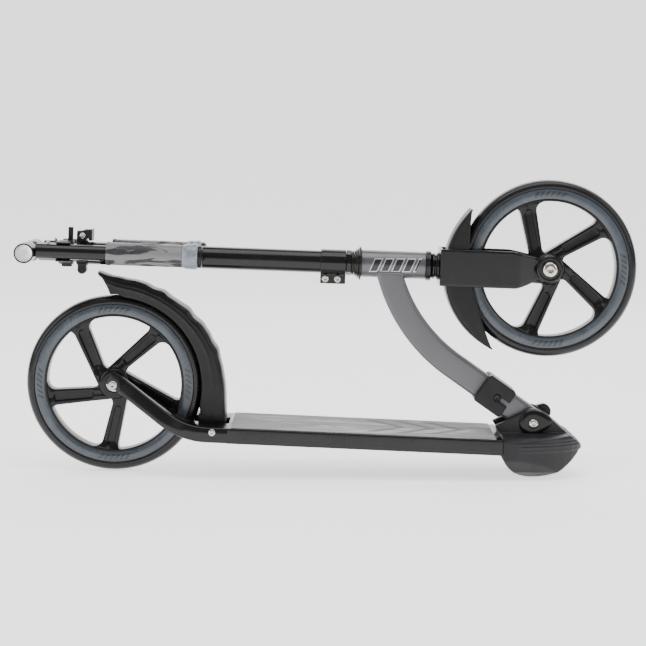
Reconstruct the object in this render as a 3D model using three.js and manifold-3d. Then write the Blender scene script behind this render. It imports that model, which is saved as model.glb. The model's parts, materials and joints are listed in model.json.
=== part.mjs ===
// Folding kick scooter with two big moulded wheels, lying folded: the deck is level, and the
// steering column lies back over it, with its two grips folded down along the column.
// +X runs forward along the deck, +Y is the rider's left, +Z is up. Sizes are millimetres.
import * as THREE from "three";
import { mergeVertices } from "three/addons/utils/BufferGeometryUtils.js";
import Module from "manifold-3d";

const wasm = await Module();
wasm.setup();
const rad = THREE.MathUtils.degToRad;

// ---- driving dimensions ----
const FIT_GAP = 0.3; // left between two pieces that touch
const ROUND = 24; // sides of a large round piece
const SMALL_ROUND = 12; // sides of a screw, pin or small boss
const WHEEL_SIDES = 40; // sides of a tyre or rim

const WHEEL_RADIUS = 125;
const TYRE_WIDTH = 30;
const RIM_LIP_RADIUS = 112.2;
const RIM_SEAT_RADIUS = 103.5;
const RIM_INNER_RADIUS = 95;
const RIM_WIDTH = 27;
const SPOKE_COUNT = 5;
const SPOKE_OFFSET = 13.5; // how far a spoke's middle line passes from the wheel's centre
const SPOKE_DEPTH = 20;
const HUB_RADIUS = 24;
const HUB_WIDTH = 32;
const BEARING_RADIUS = 11;
const BEARING_WIDTH = 7;
const AXLE_RADIUS = 4;

const REAR_AXLE_X = -300;
const PIVOT_X = 292;
const PIVOT_Z = 75;

const DECK_WIDTH = 144;
const DECK_THICKNESS = 21.5;
const DECK_SLOPE = 2.1; // degrees down towards the front, as the scooter lies folded
const DECK_WALL = 4;
const DECK_FRONT_X = 246;
const DECK_BEND_X = -200;
const DECK_BEND_Z = 63;
const DECK_BEND_RADIUS = 120;
const ARM_SLOPE = 35.1; // degrees that the rear arms rise by
const ARM_REACH = 128; // from the bend's corner to the arms' ends
const ARM_END_HALF_WIDTH = 31;
const WHEEL_SLOT_WIDTH = 40;
const TAPE_THICKNESS = 1;

const COLUMN_SLOPE = 1.69; // degrees that the folded column rises by towards its handlebar
const CROWN_X = 158; // where the steering axis meets the fork's crown
const CROWN_Z = 294.2;
const WHEEL_DROP = 154; // crown to front axle, along the steering axis
const WHEEL_TRAIL = 2.5; // front axle's offset from the steering axis
const STEERER_RADIUS = 12.5;
const STEERER_LENGTH = 160;
const OUTER_COLUMN_RADIUS = 15.8;
const COLUMN_WALL = 2.6;
const OUTER_COLUMN_END = 505;
const INNER_COLUMN_START = 220;
const HEAD_TUBE_RADIUS = 19.2;
const HEAD_TUBE_WALL = 2.8;
const HEAD_TUBE_START = 19.5;
const HEAD_TUBE_END = 109.6;
const TEE_RADIUS = 13.9;
const TEE_WALL = 2.4;
const TEE_LENGTH = 110;
const TEE_PLACE = 578; // handlebar tee's centre, along the steering axis

const FORK_WIDTH = 63; // across the outside of the two legs
const FORK_PLATE = 4.5;
const FORK_HALF_DEPTH = 26;
const GUARD_HALF_WIDTH = 25;
const GUARD_WALL = 2.7;

const EAR_FACE = 29; // outer face of each ear of the fold hinge
const STEM_DEPTH = 36.5;
const STEM_HALF_WIDTH = 16;
const STEM_WALL = 3.2;
const STEM_SLOPE = 35; // degrees, of the stem's straight lower length
const LATCH_LENGTH = 46;
const LATCH_DEPTH = 43.6;
const LATCH_HALF_WIDTH = 25;
const LATCH_PLACE = 65.6; // latch sleeve's centre, from the fold pivot
const LATCH_TRAVEL = 8;

const HANDLE_OFFSET = 37; // a folded handle's axis, from the column's axis
const HANDLE_RISE = 3;
const HANDLE_TUBE_RADIUS = 10.8;
const GRIP_RADIUS = 15.8;
const GRIP_START = 360;
const GRIP_END = 465;

// ---- materials ----
const finish = (color, roughness, metalness) =>
  new THREE.MeshStandardMaterial({ color, roughness, metalness });
const blackPaint = finish(0x17171a, 0.3, 0.2);
const blackAlloy = finish(0x17171a, 0.3, 0.2);
const blackPlastic = finish(0x1c1c1f, 0.5, 0);
const castGrey = finish(0x2b2b2e, 0.65, 0.2);
const greyMetal = finish(0x7d7b82, 0.4, 0.8);
const bareSteel = finish(0xb9b4aa, 0.25, 1);
const tyreBlack = finish(0x18181a, 0.4, 0);
const tapeGrey = finish(0xc3bec0, 0.9, 0);
const gripGrey = finish(0x8f8f93, 0.8, 0);
const flangeGrey = finish(0xa5afb9, 0.4, 0);

// ---- shapes ----
// A closed three.js geometry as a solid that can be cut and joined.
function solid(geometry) {
  const bare = geometry.index ? geometry.toNonIndexed() : geometry.clone();
  bare.deleteAttribute("normal");
  bare.deleteAttribute("uv");
  const merged = mergeVertices(bare, 1e-3);
  return new wasm.Manifold(
    new wasm.Mesh({
      numProp: 3,
      vertProperties: merged.attributes.position.array,
      triVerts: new Uint32Array(merged.index.array),
    }),
  );
}

function geometryOf(made) {
  const mesh = made.getMesh();
  const geometry = new THREE.BufferGeometry();
  geometry.setAttribute("position", new THREE.BufferAttribute(mesh.vertProperties, 3));
  geometry.setIndex(new THREE.BufferAttribute(mesh.triVerts, 1));
  return geometry;
}

function shapeOf(points) {
  return new THREE.Shape(points.map(([x, y]) => new THREE.Vector2(x, y)));
}

// A side outline, drawn in X and Z, as a slab from y0 to y1.
function slab(shape, y0, y1, curveSegments = 8) {
  const geometry = new THREE.ExtrudeGeometry(shape, {
    depth: y1 - y0,
    bevelEnabled: false,
    curveSegments,
  });
  return solid(geometry.rotateX(Math.PI / 2).translate(0, y1, 0));
}

// A plan outline, drawn in X and Y, from z0 to z1.
function plate(shape, z0, z1, curveSegments = 8) {
  const geometry = new THREE.ExtrudeGeometry(shape, {
    depth: z1 - z0,
    bevelEnabled: false,
    curveSegments,
  });
  return solid(geometry.translate(0, 0, z0));
}

// An outline drawn in Y and Z, from x0 to x1.
function bulkhead(shape, x0, x1) {
  const geometry = new THREE.ExtrudeGeometry(shape, { depth: x1 - x0, bevelEnabled: false });
  return solid(geometry.rotateX(Math.PI / 2).rotateZ(Math.PI / 2).translate(x0, 0, 0));
}

function block(x0, x1, y0, y1, z0, z1) {
  const geometry = new THREE.BoxGeometry(x1 - x0, y1 - y0, z1 - z0);
  return solid(geometry.translate((x0 + x1) / 2, (y0 + y1) / 2, (z0 + z1) / 2));
}

// A turned piece about the Y axis: the profile's points are radius and y.
function turnedY(points, sides = ROUND) {
  const area = points.reduce((sum, [r, y], i) => {
    const [r1, y1] = points[(i + 1) % points.length];
    return sum + r * y1 - r1 * y;
  }, 0);
  const ring = area > 0 ? [...points] : [...points].reverse();
  ring.push(ring[0]);
  const profile = ring.map(([r, y]) => new THREE.Vector2(r, y));
  return solid(new THREE.LatheGeometry(profile, sides));
}

// A turned piece about the Z axis: the profile's points are radius and z.
function turnedZ(points, sides = ROUND) {
  return turnedY(points, sides).rotate([90, 0, 0]);
}

function pinY(radius, y0, y1, sides = SMALL_ROUND) {
  const geometry = new THREE.CylinderGeometry(radius, radius, y1 - y0, sides);
  return solid(geometry.translate(0, (y0 + y1) / 2, 0));
}

function pinZ(radius, z0, z1, sides = ROUND) {
  return pinY(radius, z0, z1, sides).rotate([90, 0, 0]);
}

function tubeZ(outer, inner, z0, z1, sides = ROUND) {
  return turnedZ([[inner, z0], [outer, z0], [outer, z1], [inner, z1]], sides);
}

// A strip of even thickness along a bent line: straight, a round bend at the corner, straight.
function bentStrip(start, corner, end, bendRadius, thickness, steps = 8) {
  const a = new THREE.Vector2(...start);
  const b = new THREE.Vector2(...corner);
  const c = new THREE.Vector2(...end);
  const into = b.clone().sub(a).normalize();
  const out = c.clone().sub(b).normalize();
  const turn = Math.atan2(into.cross(out), into.dot(out));
  const reach = bendRadius * Math.tan(Math.abs(turn) / 2);
  const side = Math.sign(turn);
  const first = b.clone().addScaledVector(into, -reach);
  const centre = first.clone().add(new THREE.Vector2(-into.y, into.x).multiplyScalar(side * bendRadius));
  const heading = Math.atan2(into.y, into.x);
  const line = [[a, heading]];
  for (let i = 0; i <= steps; i += 1) {
    const angle = heading + (turn * i) / steps;
    const spoke = new THREE.Vector2(Math.sin(angle), -Math.cos(angle)).multiplyScalar(side * bendRadius);
    line.push([centre.clone().add(spoke), angle]);
  }
  line.push([c, heading + turn]);
  const edge = (offset) =>
    line.map(([p, angle]) => [p.x - Math.sin(angle) * offset, p.y + Math.cos(angle) * offset]);
  return shapeOf([...edge(-thickness / 2), ...edge(thickness / 2).reverse()]);
}

// ---- the tree ----
const scooter = new THREE.Group();
const column = new THREE.Group(); // its +Z runs along the steering axis, towards the handlebar
column.position.set(CROWN_X, 0, CROWN_Z);
column.rotation.y = -rad(90 - COLUMN_SLOPE);
scooter.add(column);
const frontWheel = new THREE.Group();
frontWheel.position.set(WHEEL_TRAIL, 0, -WHEEL_DROP);
column.add(frontWheel);
const rearWheel = new THREE.Group();
rearWheel.position.set(REAR_AXLE_X, 0, WHEEL_RADIUS);
scooter.add(rearWheel);
const pivot = new THREE.Group(); // its +X runs up the stem from the fold pivot
pivot.position.set(PIVOT_X, 0, PIVOT_Z);
pivot.rotation.y = -rad(180 - STEM_SLOPE);
scooter.add(pivot);

function add(group, name, made, material) {
  const mesh = new THREE.Mesh(geometryOf(made), material);
  mesh.name = name;
  group.add(mesh);
  return mesh;
}

// ---- wheels ----
function tyre() {
  const half = TYRE_WIDTH / 2;
  const seat = RIM_WIDTH / 2 - 4.3;
  const inner = RIM_SEAT_RADIUS + FIT_GAP;
  const lip = RIM_LIP_RADIUS + FIT_GAP;
  const side = [
    [inner, seat],
    [lip, seat],
    [lip, half - 1],
    [WHEEL_RADIUS - 8, half],
    [WHEEL_RADIUS - 3, half - 2.5],
    [WHEEL_RADIUS, half - 8],
  ];
  const mirrored = side.map(([r, y]) => [r, -y]).reverse();
  return turnedY([...side, ...mirrored], WHEEL_SIDES);
}

function rim(phase) {
  const half = RIM_WIDTH / 2;
  const groove = half - 4.3 + FIT_GAP;
  const band = turnedY(
    [
      [RIM_INNER_RADIUS, -half],
      [RIM_LIP_RADIUS, -half],
      [RIM_LIP_RADIUS, -groove],
      [RIM_SEAT_RADIUS, -groove],
      [RIM_SEAT_RADIUS, groove],
      [RIM_LIP_RADIUS, groove],
      [RIM_LIP_RADIUS, half],
      [RIM_INNER_RADIUS, half],
    ],
    WHEEL_SIDES,
  );
  let made = band.add(pinY(HUB_RADIUS, -HUB_WIDTH / 2, HUB_WIDTH / 2, ROUND));
  const reach = RIM_INNER_RADIUS + 3;
  const outline = shapeOf([[0, -8.5], [reach, -12], [reach, 12], [0, 8.5]]);
  const pocket = shapeOf([[32, -3.5], [86, -5], [90, 0], [86, 5], [32, 3.5]]);
  const depth = SPOKE_DEPTH / 2;
  const spoke = slab(outline, -depth, depth)
    .subtract(slab(pocket, -depth - 1, 4 - depth))
    .subtract(slab(pocket, depth - 4, depth + 1))
    .translate([0, 0, SPOKE_OFFSET]);
  for (let i = 0; i < SPOKE_COUNT; i += 1) {
    made = made.add(spoke.rotate([0, -(phase + (360 / SPOKE_COUNT) * i), 0]));
  }
  const seat = BEARING_RADIUS + FIT_GAP;
  const bore = turnedY([
    [0, -HUB_WIDTH],
    [seat, -HUB_WIDTH],
    [seat, HUB_WIDTH],
    [0, HUB_WIDTH],
  ]);
  return made.subtract(bore);
}

function bearing(y0) {
  const inner = AXLE_RADIUS + FIT_GAP;
  return turnedY(
    [[inner, y0], [BEARING_RADIUS, y0], [BEARING_RADIUS, y0 + BEARING_WIDTH], [inner, y0 + BEARING_WIDTH]],
    SMALL_ROUND,
  );
}

function bearingSpacer() {
  const half = HUB_WIDTH / 2 - BEARING_WIDTH - 1 - FIT_GAP;
  const inner = AXLE_RADIUS + FIT_GAP;
  return turnedY([[inner, -half], [inner + 2.5, -half], [inner + 2.5, half], [inner, half]], SMALL_ROUND);
}

function addWheel(group, end, phase) {
  add(group, `${end}_tyre`, tyre(), tyreBlack);
  add(group, `${end}_rim`, rim(phase), blackPlastic);
  const face = HUB_WIDTH / 2 - 1;
  add(group, `${end}_bearing_near`, bearing(-face), bareSteel);
  add(group, `${end}_bearing_far`, bearing(face - BEARING_WIDTH), bareSteel);
  add(group, `${end}_bearing_spacer`, bearingSpacer(), bareSteel);
}
addWheel(rearWheel, "rear", -31.1);
addWheel(frontWheel, "front", -131);

// An axle bolt lies along Y, with its head on the near side and its thread in a nut.
function bolt(shank, head, headHeight, y0, y1) {
  return turnedY([[0, y0 - headHeight], [head * 0.7, y0 - headHeight], [head, y0 - headHeight / 2],
    [head, y0], [shank, y0], [shank, y1], [0, y1]], SMALL_ROUND);
}

function nut(shank, across, y0, y1) {
  return pinY(across, y0, y1, 6).subtract(pinY(shank + FIT_GAP, y0 - 1, y1 + 1));
}

// ---- deck, with its rear arms ----
const deckFall = Math.tan(rad(DECK_SLOPE));
const deckLine = (x) => DECK_BEND_Z + (DECK_BEND_X - x) * deckFall;
const deckTop = (x) => deckLine(x) + DECK_THICKNESS / 2;
const armEnd = [
  DECK_BEND_X - ARM_REACH * Math.cos(rad(ARM_SLOPE)),
  DECK_BEND_Z + ARM_REACH * Math.sin(rad(ARM_SLOPE)),
];
const BRAKE_PIN_X = -158;
const BRAKE_PIN_Z = deckLine(BRAKE_PIN_X) + 4;
const BRAKE_POCKET = [-178, -138];
const slotEnd = REAR_AXLE_X + WHEEL_RADIUS + 4;

function deckFrame() {
  const outline = bentStrip(
    [DECK_FRONT_X + 5, deckLine(DECK_FRONT_X + 5)],
    [DECK_BEND_X, DECK_BEND_Z],
    armEnd,
    DECK_BEND_RADIUS,
    DECK_THICKNESS,
  );
  const half = DECK_WIDTH / 2;
  const plan = shapeOf([
    [DECK_FRONT_X, -half],
    [DECK_FRONT_X, half],
    [BRAKE_PIN_X - 20, half],
    [BRAKE_PIN_X - 40, half - 3],
    [REAR_AXLE_X + 10, ARM_END_HALF_WIDTH],
    [REAR_AXLE_X - 20, ARM_END_HALF_WIDTH],
    [REAR_AXLE_X - 20, -ARM_END_HALF_WIDTH],
    [REAR_AXLE_X + 10, -ARM_END_HALF_WIDTH],
    [BRAKE_PIN_X - 40, 3 - half],
    [BRAKE_PIN_X - 20, -half],
  ]);
  const slot = WHEEL_SLOT_WIDTH / 2;
  const inside = half - DECK_WALL;
  const [pocket0, pocket1] = BRAKE_POCKET;
  const under = shapeOf([
    [pocket1 + 10, deckLine(pocket1) - DECK_THICKNESS],
    [pocket1 + 10, deckTop(pocket1 + 10) - DECK_WALL],
    [DECK_FRONT_X - 8, deckTop(DECK_FRONT_X - 8) - DECK_WALL],
    [DECK_FRONT_X - 8, deckLine(DECK_FRONT_X) - DECK_THICKNESS],
  ]);
  const guardRoom = GUARD_HALF_WIDTH + 1;
  const holes = pinY(AXLE_RADIUS + FIT_GAP, -half, half).translate([REAR_AXLE_X, 0, WHEEL_RADIUS]);
  const pinHole = pinY(3 + FIT_GAP, -half - 2, half + 2).translate([BRAKE_PIN_X, 0, BRAKE_PIN_Z]);
  return slab(outline, -half, half)
    .intersect(plate(plan, -10, 200))
    .subtract(block(-400, slotEnd, -slot, slot, 0, 300))
    .subtract(block(pocket0 - 12, pocket1, -guardRoom, guardRoom, 57, 120))
    .subtract(slab(under, -inside, inside))
    .subtract(holes)
    .subtract(pinHole);
}
add(scooter, "deck", deckFrame(), blackAlloy);

function gripTape() {
  const [start, end] = [BRAKE_POCKET[1] + 6, DECK_FRONT_X - 9];
  const low = (x) => deckTop(x) + FIT_GAP;
  const outline = shapeOf([
    [start, low(start)],
    [end, low(end)],
    [end, low(end) + TAPE_THICKNESS],
    [start, low(start) + TAPE_THICKNESS],
  ]);
  const half = DECK_WIDTH / 2 - 3;
  return slab(outline, -half, half);
}
add(scooter, "grip_tape", gripTape(), tapeGrey);

// ---- neck casting, with the ears of the fold hinge ----
function neckCasting() {
  const left = DECK_FRONT_X + FIT_GAP;
  const side = new THREE.Shape();
  side.moveTo(left, 30);
  side.bezierCurveTo(256, 10, 272, 0, 290, 0);
  side.bezierCurveTo(318, 0, 346, 20, 361, 42);
  side.lineTo(359, 46);
  side.lineTo(317, 82);
  side.lineTo(305, 90);
  side.absarc(PIVOT_X, PIVOT_Z, 20.5, rad(50), rad(135), false);
  side.lineTo(254, 78);
  side.lineTo(239, 71);
  side.lineTo(left, 60);
  const plan = new THREE.Shape();
  plan.moveTo(230, -71);
  plan.lineTo(262, -71);
  plan.bezierCurveTo(300, -70, 345, -55, 362, -22);
  plan.lineTo(362, 22);
  plan.bezierCurveTo(345, 55, 300, 70, 262, 71);
  plan.lineTo(230, 71);
  const front = shapeOf([
    [-34, -1], [34, -1], [56, 10], [71, 28], [71, 54], [58, 58], [EAR_FACE, 61],
    [EAR_FACE, 110], [-EAR_FACE, 110], [-EAR_FACE, 61], [-58, 58], [-71, 54], [-71, 28], [-56, 10],
  ]);
  const cheek = STEM_HALF_WIDTH + 0.8;
  const swing = new THREE.Shape();
  swing.moveTo(PIVOT_X + 28, PIVOT_Z + 6);
  swing.absarc(PIVOT_X, PIVOT_Z, 23.5, rad(10), rad(-150), true);
  swing.lineTo(PIVOT_X - 70, PIVOT_Z - 12);
  swing.lineTo(PIVOT_X - 70, PIVOT_Z + 60);
  swing.lineTo(PIVOT_X + 60, PIVOT_Z + 60);
  const hole = pinY(AXLE_RADIUS + FIT_GAP, -60, 60).translate([PIVOT_X, 0, PIVOT_Z]);
  return slab(side, -72, 72)
    .intersect(plate(plan, -1, 120))
    .intersect(bulkhead(front, 200, 400))
    .subtract(castingHollow())
    .subtract(slab(swing, -cheek, cheek))
    .subtract(hole);
}

// The casting is hollow, and its hollow opens towards the deck.
function castingHollow() {
  const side = shapeOf([
    [DECK_FRONT_X - 5, 34], [256, 20], [270, 8], [290, 5], [318, 9], [338, 25], [345, 36], [328, 46],
    [DECK_FRONT_X - 5, 46],
  ]);
  const plan = shapeOf([
    [DECK_FRONT_X - 5, -66], [262, -66], [300, -59], [330, -42], [350, -20],
    [350, 20], [330, 42], [300, 59], [262, 66], [DECK_FRONT_X - 5, 66],
  ]);
  const front = shapeOf([
    [-31, 4], [31, 4], [51, 14], [65, 30], [65, 48], [-65, 48], [-65, 30], [-51, 14],
  ]);
  return slab(side, -70, 70).intersect(plate(plan, 0, 60)).intersect(bulkhead(front, 200, 400));
}
add(scooter, "neck_casting", neckCasting(), castGrey);

function hingeCover(y0, y1) {
  const outline = new THREE.Shape();
  outline.absarc(PIVOT_X, PIVOT_Z, 19.5, rad(-90), rad(150), false);
  outline.lineTo(PIVOT_X - 24, PIVOT_Z + 2);
  outline.lineTo(PIVOT_X - 14, PIVOT_Z - 19);
  const hole = pinY(AXLE_RADIUS + FIT_GAP, -60, 60).translate([PIVOT_X, 0, PIVOT_Z]);
  return slab(outline, y0, y1).subtract(hole);
}
const coverOut = EAR_FACE + FIT_GAP + 4;
const coverTop = block(230, 340, -60, 60, PIVOT_Z - 4, 120);
add(scooter, "hinge_cover_near", hingeCover(-coverOut, -EAR_FACE - FIT_GAP).intersect(coverTop), blackPlastic);
add(scooter, "hinge_cover_far", hingeCover(EAR_FACE + FIT_GAP, coverOut).intersect(coverTop), blackPlastic);

const pivotBolt = bolt(AXLE_RADIUS, 7, 3.5, -coverOut - FIT_GAP, 62);
add(scooter, "fold_pivot_bolt", pivotBolt.translate([PIVOT_X, 0, PIVOT_Z]), bareSteel);
const leverIn = coverOut + FIT_GAP;
const leverOut = leverIn + 12;
const pivotNut = nut(AXLE_RADIUS, 7.5, leverOut + FIT_GAP, leverOut + 6);
add(scooter, "fold_pivot_nut", pivotNut.translate([PIVOT_X, 0, PIVOT_Z]), bareSteel);

// The cam lever that tightens the fold hinge lies on the far side.
function foldLever() {
  const outline = new THREE.Shape();
  outline.absarc(PIVOT_X, PIVOT_Z, 13, rad(120), rad(-60), false);
  outline.lineTo(PIVOT_X + 27, PIVOT_Z - 2);
  outline.absarc(PIVOT_X + 21, PIVOT_Z + 7, 12, rad(-50), rad(90), false);
  const hole = pinY(AXLE_RADIUS + FIT_GAP, 0, 60).translate([PIVOT_X, 0, PIVOT_Z]);
  return slab(outline, leverIn, leverOut).subtract(hole);
}
add(scooter, "fold_lever", foldLever(), blackPlastic);

// ---- rear axle ----
const armFace = ARM_END_HALF_WIDTH + FIT_GAP;
const rearAxle = bolt(AXLE_RADIUS, 6.8, 3.5, -armFace, armFace + 9);
add(rearWheel, "rear_axle", rearAxle, bareSteel);
add(rearWheel, "rear_axle_nut", nut(AXLE_RADIUS, 7.5, armFace, armFace + 6.5), bareSteel);

// ---- rear mudguard, which is the foot brake ----
const guardOuter = [
  [-322, 284], [-303, 276.5], [-271, 271.5], [-224, 252], [-182, 218.5],
  [-156, 180.5], [-145, 140], [-141.7, 100],
];
function rearMudguard() {
  const [wx, wz] = [REAR_AXLE_X, WHEEL_RADIUS];
  const outline = new THREE.Shape();
  const base = BRAKE_PIN_Z - 7;
  outline.moveTo(-141.7, base);
  outline.lineTo(...guardOuter.at(-1));
  const crown = [...guardOuter].reverse().map(([x, z]) => new THREE.Vector2(x, z));
  outline.splineThru(crown.slice(1));
  outline.lineTo(-306, 253);
  outline.absarc(wx, wz, WHEEL_RADIUS + 3, rad(92), rad(-22), true);
  outline.lineTo(-176, base);
  const inside = new THREE.Shape();
  inside.moveTo(-146, 84);
  inside.absarc(wx, wz, 149 - GUARD_WALL, rad(0), rad(88), false);
  inside.lineTo(-340, 272);
  inside.lineTo(-340, 84);
  const inner = GUARD_HALF_WIDTH - GUARD_WALL;
  const pin = pinY(3 + FIT_GAP, -80, 80).translate([BRAKE_PIN_X, 0, BRAKE_PIN_Z]);
  return slab(outline, -GUARD_HALF_WIDTH, GUARD_HALF_WIDTH, 4)
    .subtract(slab(inside, -inner, inner, 12))
    .subtract(pin);
}
add(scooter, "rear_mudguard", rearMudguard(), blackPlastic);

function brakePad() {
  const outline = new THREE.Shape();
  const outer = 149 - GUARD_WALL - FIT_GAP;
  outline.absarc(REAR_AXLE_X, WHEEL_RADIUS, outer, rad(58), rad(84), false);
  outline.absarc(REAR_AXLE_X, WHEEL_RADIUS, WHEEL_RADIUS + 7, rad(84), rad(58), true);
  return slab(outline, -11, 11, 4);
}
add(scooter, "brake_pad", brakePad(), blackPlastic);

const pinHalf = DECK_WIDTH / 2 + FIT_GAP;
const brakePin = turnedY([[0, -pinHalf - 2], [4, -pinHalf - 2], [5, -pinHalf - 1], [5, -pinHalf], [3, -pinHalf],
  [3, pinHalf], [5, pinHalf], [5, pinHalf + 1], [4, pinHalf + 2], [0, pinHalf + 2]], SMALL_ROUND);
add(scooter, "brake_pin", brakePin.translate([BRAKE_PIN_X, 0, BRAKE_PIN_Z]), bareSteel);

// ---- stem: a flat-sided bent tube from the fold pivot up to the head tube ----
const headOuter = HEAD_TUBE_RADIUS + FIT_GAP;
function columnPiece(made) {
  return made.rotate([0, -(90 - COLUMN_SLOPE), 0]).translate([CROWN_X, 0, CROWN_Z]);
}
function stem() {
  const lower = [PIVOT_X, PIVOT_Z];
  const corner = [114.7, 199.1];
  const upper = [84, 297];
  const outline = bentStrip(upper, corner, lower, 231, STEM_DEPTH, 10);
  const knuckle = pinY(STEM_DEPTH / 2, -STEM_HALF_WIDTH, STEM_HALF_WIDTH, ROUND)
    .translate([PIVOT_X, 0, PIVOT_Z]);
  const hole = pinY(AXLE_RADIUS + FIT_GAP, -60, 60).translate([PIVOT_X, 0, PIVOT_Z]);
  const head = columnPiece(pinZ(headOuter, 0, 200));
  const tube = slab(outline, -STEM_HALF_WIDTH, STEM_HALF_WIDTH).add(knuckle);
  const above = block(40, 160, -30, 30, CROWN_Z + 1, 340);
  const boreEnd = [lower[0] - 30, lower[1] + 21];
  const inside = bentStrip(upper, corner, boreEnd, 231, STEM_DEPTH - 2 * STEM_WALL, 10);
  const bore = slab(inside, STEM_WALL - STEM_HALF_WIDTH, STEM_HALF_WIDTH - STEM_WALL);
  return tube.subtract(bore).subtract(hole).subtract(head).subtract(above);
}
add(scooter, "stem", stem(), greyMetal);
add(column, "head_tube", tubeZ(HEAD_TUBE_RADIUS, HEAD_TUBE_RADIUS - HEAD_TUBE_WALL,
  HEAD_TUBE_START, HEAD_TUBE_END), greyMetal);

// ---- headset ----
const bearingBore = STEERER_RADIUS + FIT_GAP;
const cupInsert = HEAD_TUBE_RADIUS - HEAD_TUBE_WALL - FIT_GAP;
add(column, "headset_lower_cup", turnedZ([
  [bearingBore, 11.3], [20, 11.3], [21.2, 12.5], [21.2, 18], [20, HEAD_TUBE_START - FIT_GAP],
  [cupInsert, HEAD_TUBE_START - FIT_GAP], [cupInsert, 27], [bearingBore, 27],
]), blackPaint);
add(column, "headset_upper_cup", turnedZ([
  [bearingBore, 102], [cupInsert, 102], [cupInsert, HEAD_TUBE_END + FIT_GAP],
  [24, HEAD_TUBE_END + FIT_GAP], [24, 112.5], [19, 119.7], [bearingBore, 119.7],
]), blackPaint);
add(column, "crown_race", turnedZ([
  [bearingBore, 0.3], [19.5, 0.3], [19.5, 3], [16.5, 4], [16.5, 6], [18, 7], [18, 9], [16, 11],
  [bearingBore, 11],
]), blackPaint);
add(column, "headset_washer", tubeZ(17, bearingBore, 120, 123.2), bareSteel);
const locknut = pinZ(18, 123.5, 131, 8).subtract(pinZ(bearingBore, 120, 135));
add(column, "headset_locknut", locknut, blackPaint);

// ---- fork ----
function fork() {
  const half = FORK_WIDTH / 2;
  const inner = half - FORK_PLATE;
  const tip = -WHEEL_DROP;
  const d = FORK_HALF_DEPTH;
  const side = new THREE.Shape();
  side.moveTo(-d, 0);
  side.lineTo(d, 0);
  side.lineTo(d, -100);
  side.quadraticCurveTo(d - 3, -120, 17 + WHEEL_TRAIL, tip + 20);
  side.absarc(WHEEL_TRAIL, tip, 20, rad(45), rad(-225), true);
  side.quadraticCurveTo(3 - d, -122, -d, -106);
  const hub = HUB_WIDTH / 2 + 1.5;
  const front = shapeOf([
    [-half, 0], [half, 0], [half, -112], [hub + FORK_PLATE, -134], [hub + FORK_PLATE, -180],
    [hub, -180], [hub, -133], [inner, -111], [inner, -4.2], [-inner, -4.2], [-inner, -111],
    [-hub, -133], [-hub, -180], [-hub - FORK_PLATE, -180], [-hub - FORK_PLATE, -134], [-half, -112],
  ]);
  const hole = pinY(AXLE_RADIUS + FIT_GAP, -60, 60).translate([WHEEL_TRAIL, 0, tip]);
  return slab(side, -half, half)
    .intersect(bulkhead(front, -60, 60))
    .subtract(hole)
    .add(pinZ(STEERER_RADIUS, -1, STEERER_LENGTH));
}
add(column, "fork", fork(), blackAlloy);

const legFace = HUB_WIDTH / 2 + 1.5 + FORK_PLATE + FIT_GAP;
const capOut = legFace + 5;
const cap = (y0, y1) => turnedY([[AXLE_RADIUS + FIT_GAP, y0], [19, y0], [19, y1], [AXLE_RADIUS + FIT_GAP, y1]], 24);
add(frontWheel, "fork_cap_near", cap(-capOut, -legFace), blackPaint);
add(frontWheel, "fork_cap_far", cap(legFace, capOut), blackPaint);
const frontAxle = bolt(AXLE_RADIUS, 11, 4, -capOut - FIT_GAP, capOut + 9);
add(frontWheel, "front_axle", frontAxle, bareSteel);
add(frontWheel, "front_axle_nut", nut(AXLE_RADIUS, 8.5, capOut + FIT_GAP, capOut + 7), bareSteel);

// ---- front mudguard: a crescent whose skirts cover the tyre's sides ----
function frontMudguard() {
  const [cx, cz, radius] = [-5.6, 28.2, 120.6];
  const outline = new THREE.Shape();
  outline.absarc(cx, cz, radius, rad(44), rad(157), false);
  outline.quadraticCurveTo(-14, 122, cx + radius * Math.cos(rad(44)), cz + radius * Math.sin(rad(44)));
  const inner = GUARD_HALF_WIDTH - GUARD_WALL;
  const hollow = pinY(radius - GUARD_WALL, -inner, inner, 64).translate([cx, 0, cz]);
  return slab(outline, -GUARD_HALF_WIDTH, GUARD_HALF_WIDTH, 12).subtract(hollow);
}
add(frontWheel, "front_mudguard", frontMudguard(), blackPlastic);

// ---- latch sleeve on the stem, in the stem's own frame ----
function latchSleeve() {
  const [near, far] = [LATCH_PLACE - LATCH_LENGTH / 2, LATCH_PLACE + LATCH_LENGTH / 2];
  const d = LATCH_DEPTH / 2;
  const w = LATCH_HALF_WIDTH;
  const bore = STEM_DEPTH / 2 + 0.5;
  const wide = STEM_HALF_WIDTH + 0.5;
  const outline = shapeOf([
    [near, -d + 3], [near + 3, -d], [far - 3, -d], [far, -d + 3],
    [far, d - 3], [far - 3, d], [near + 3, d], [near, d - 3],
  ]);
  const slot = block(near - 5, near + LATCH_TRAVEL + 5.5, -w - 1, w + 1, -3.2, 3.2);
  const screwHole = pinY(5.3, -w - 1, 0).translate([LATCH_PLACE - 4, 0, 0]);
  return slab(outline, -w, w)
    .subtract(block(0, 120, -wide, wide, -bore, bore))
    .subtract(slot)
    .subtract(screwHole);
}
add(pivot, "latch_sleeve", latchSleeve(), blackPlastic);
const latchScrew = pinY(5, -LATCH_HALF_WIDTH + 1, -STEM_HALF_WIDTH - 1).translate([LATCH_PLACE - 4, 0, 0]);
add(pivot, "latch_screw", latchScrew, blackPaint);

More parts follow.
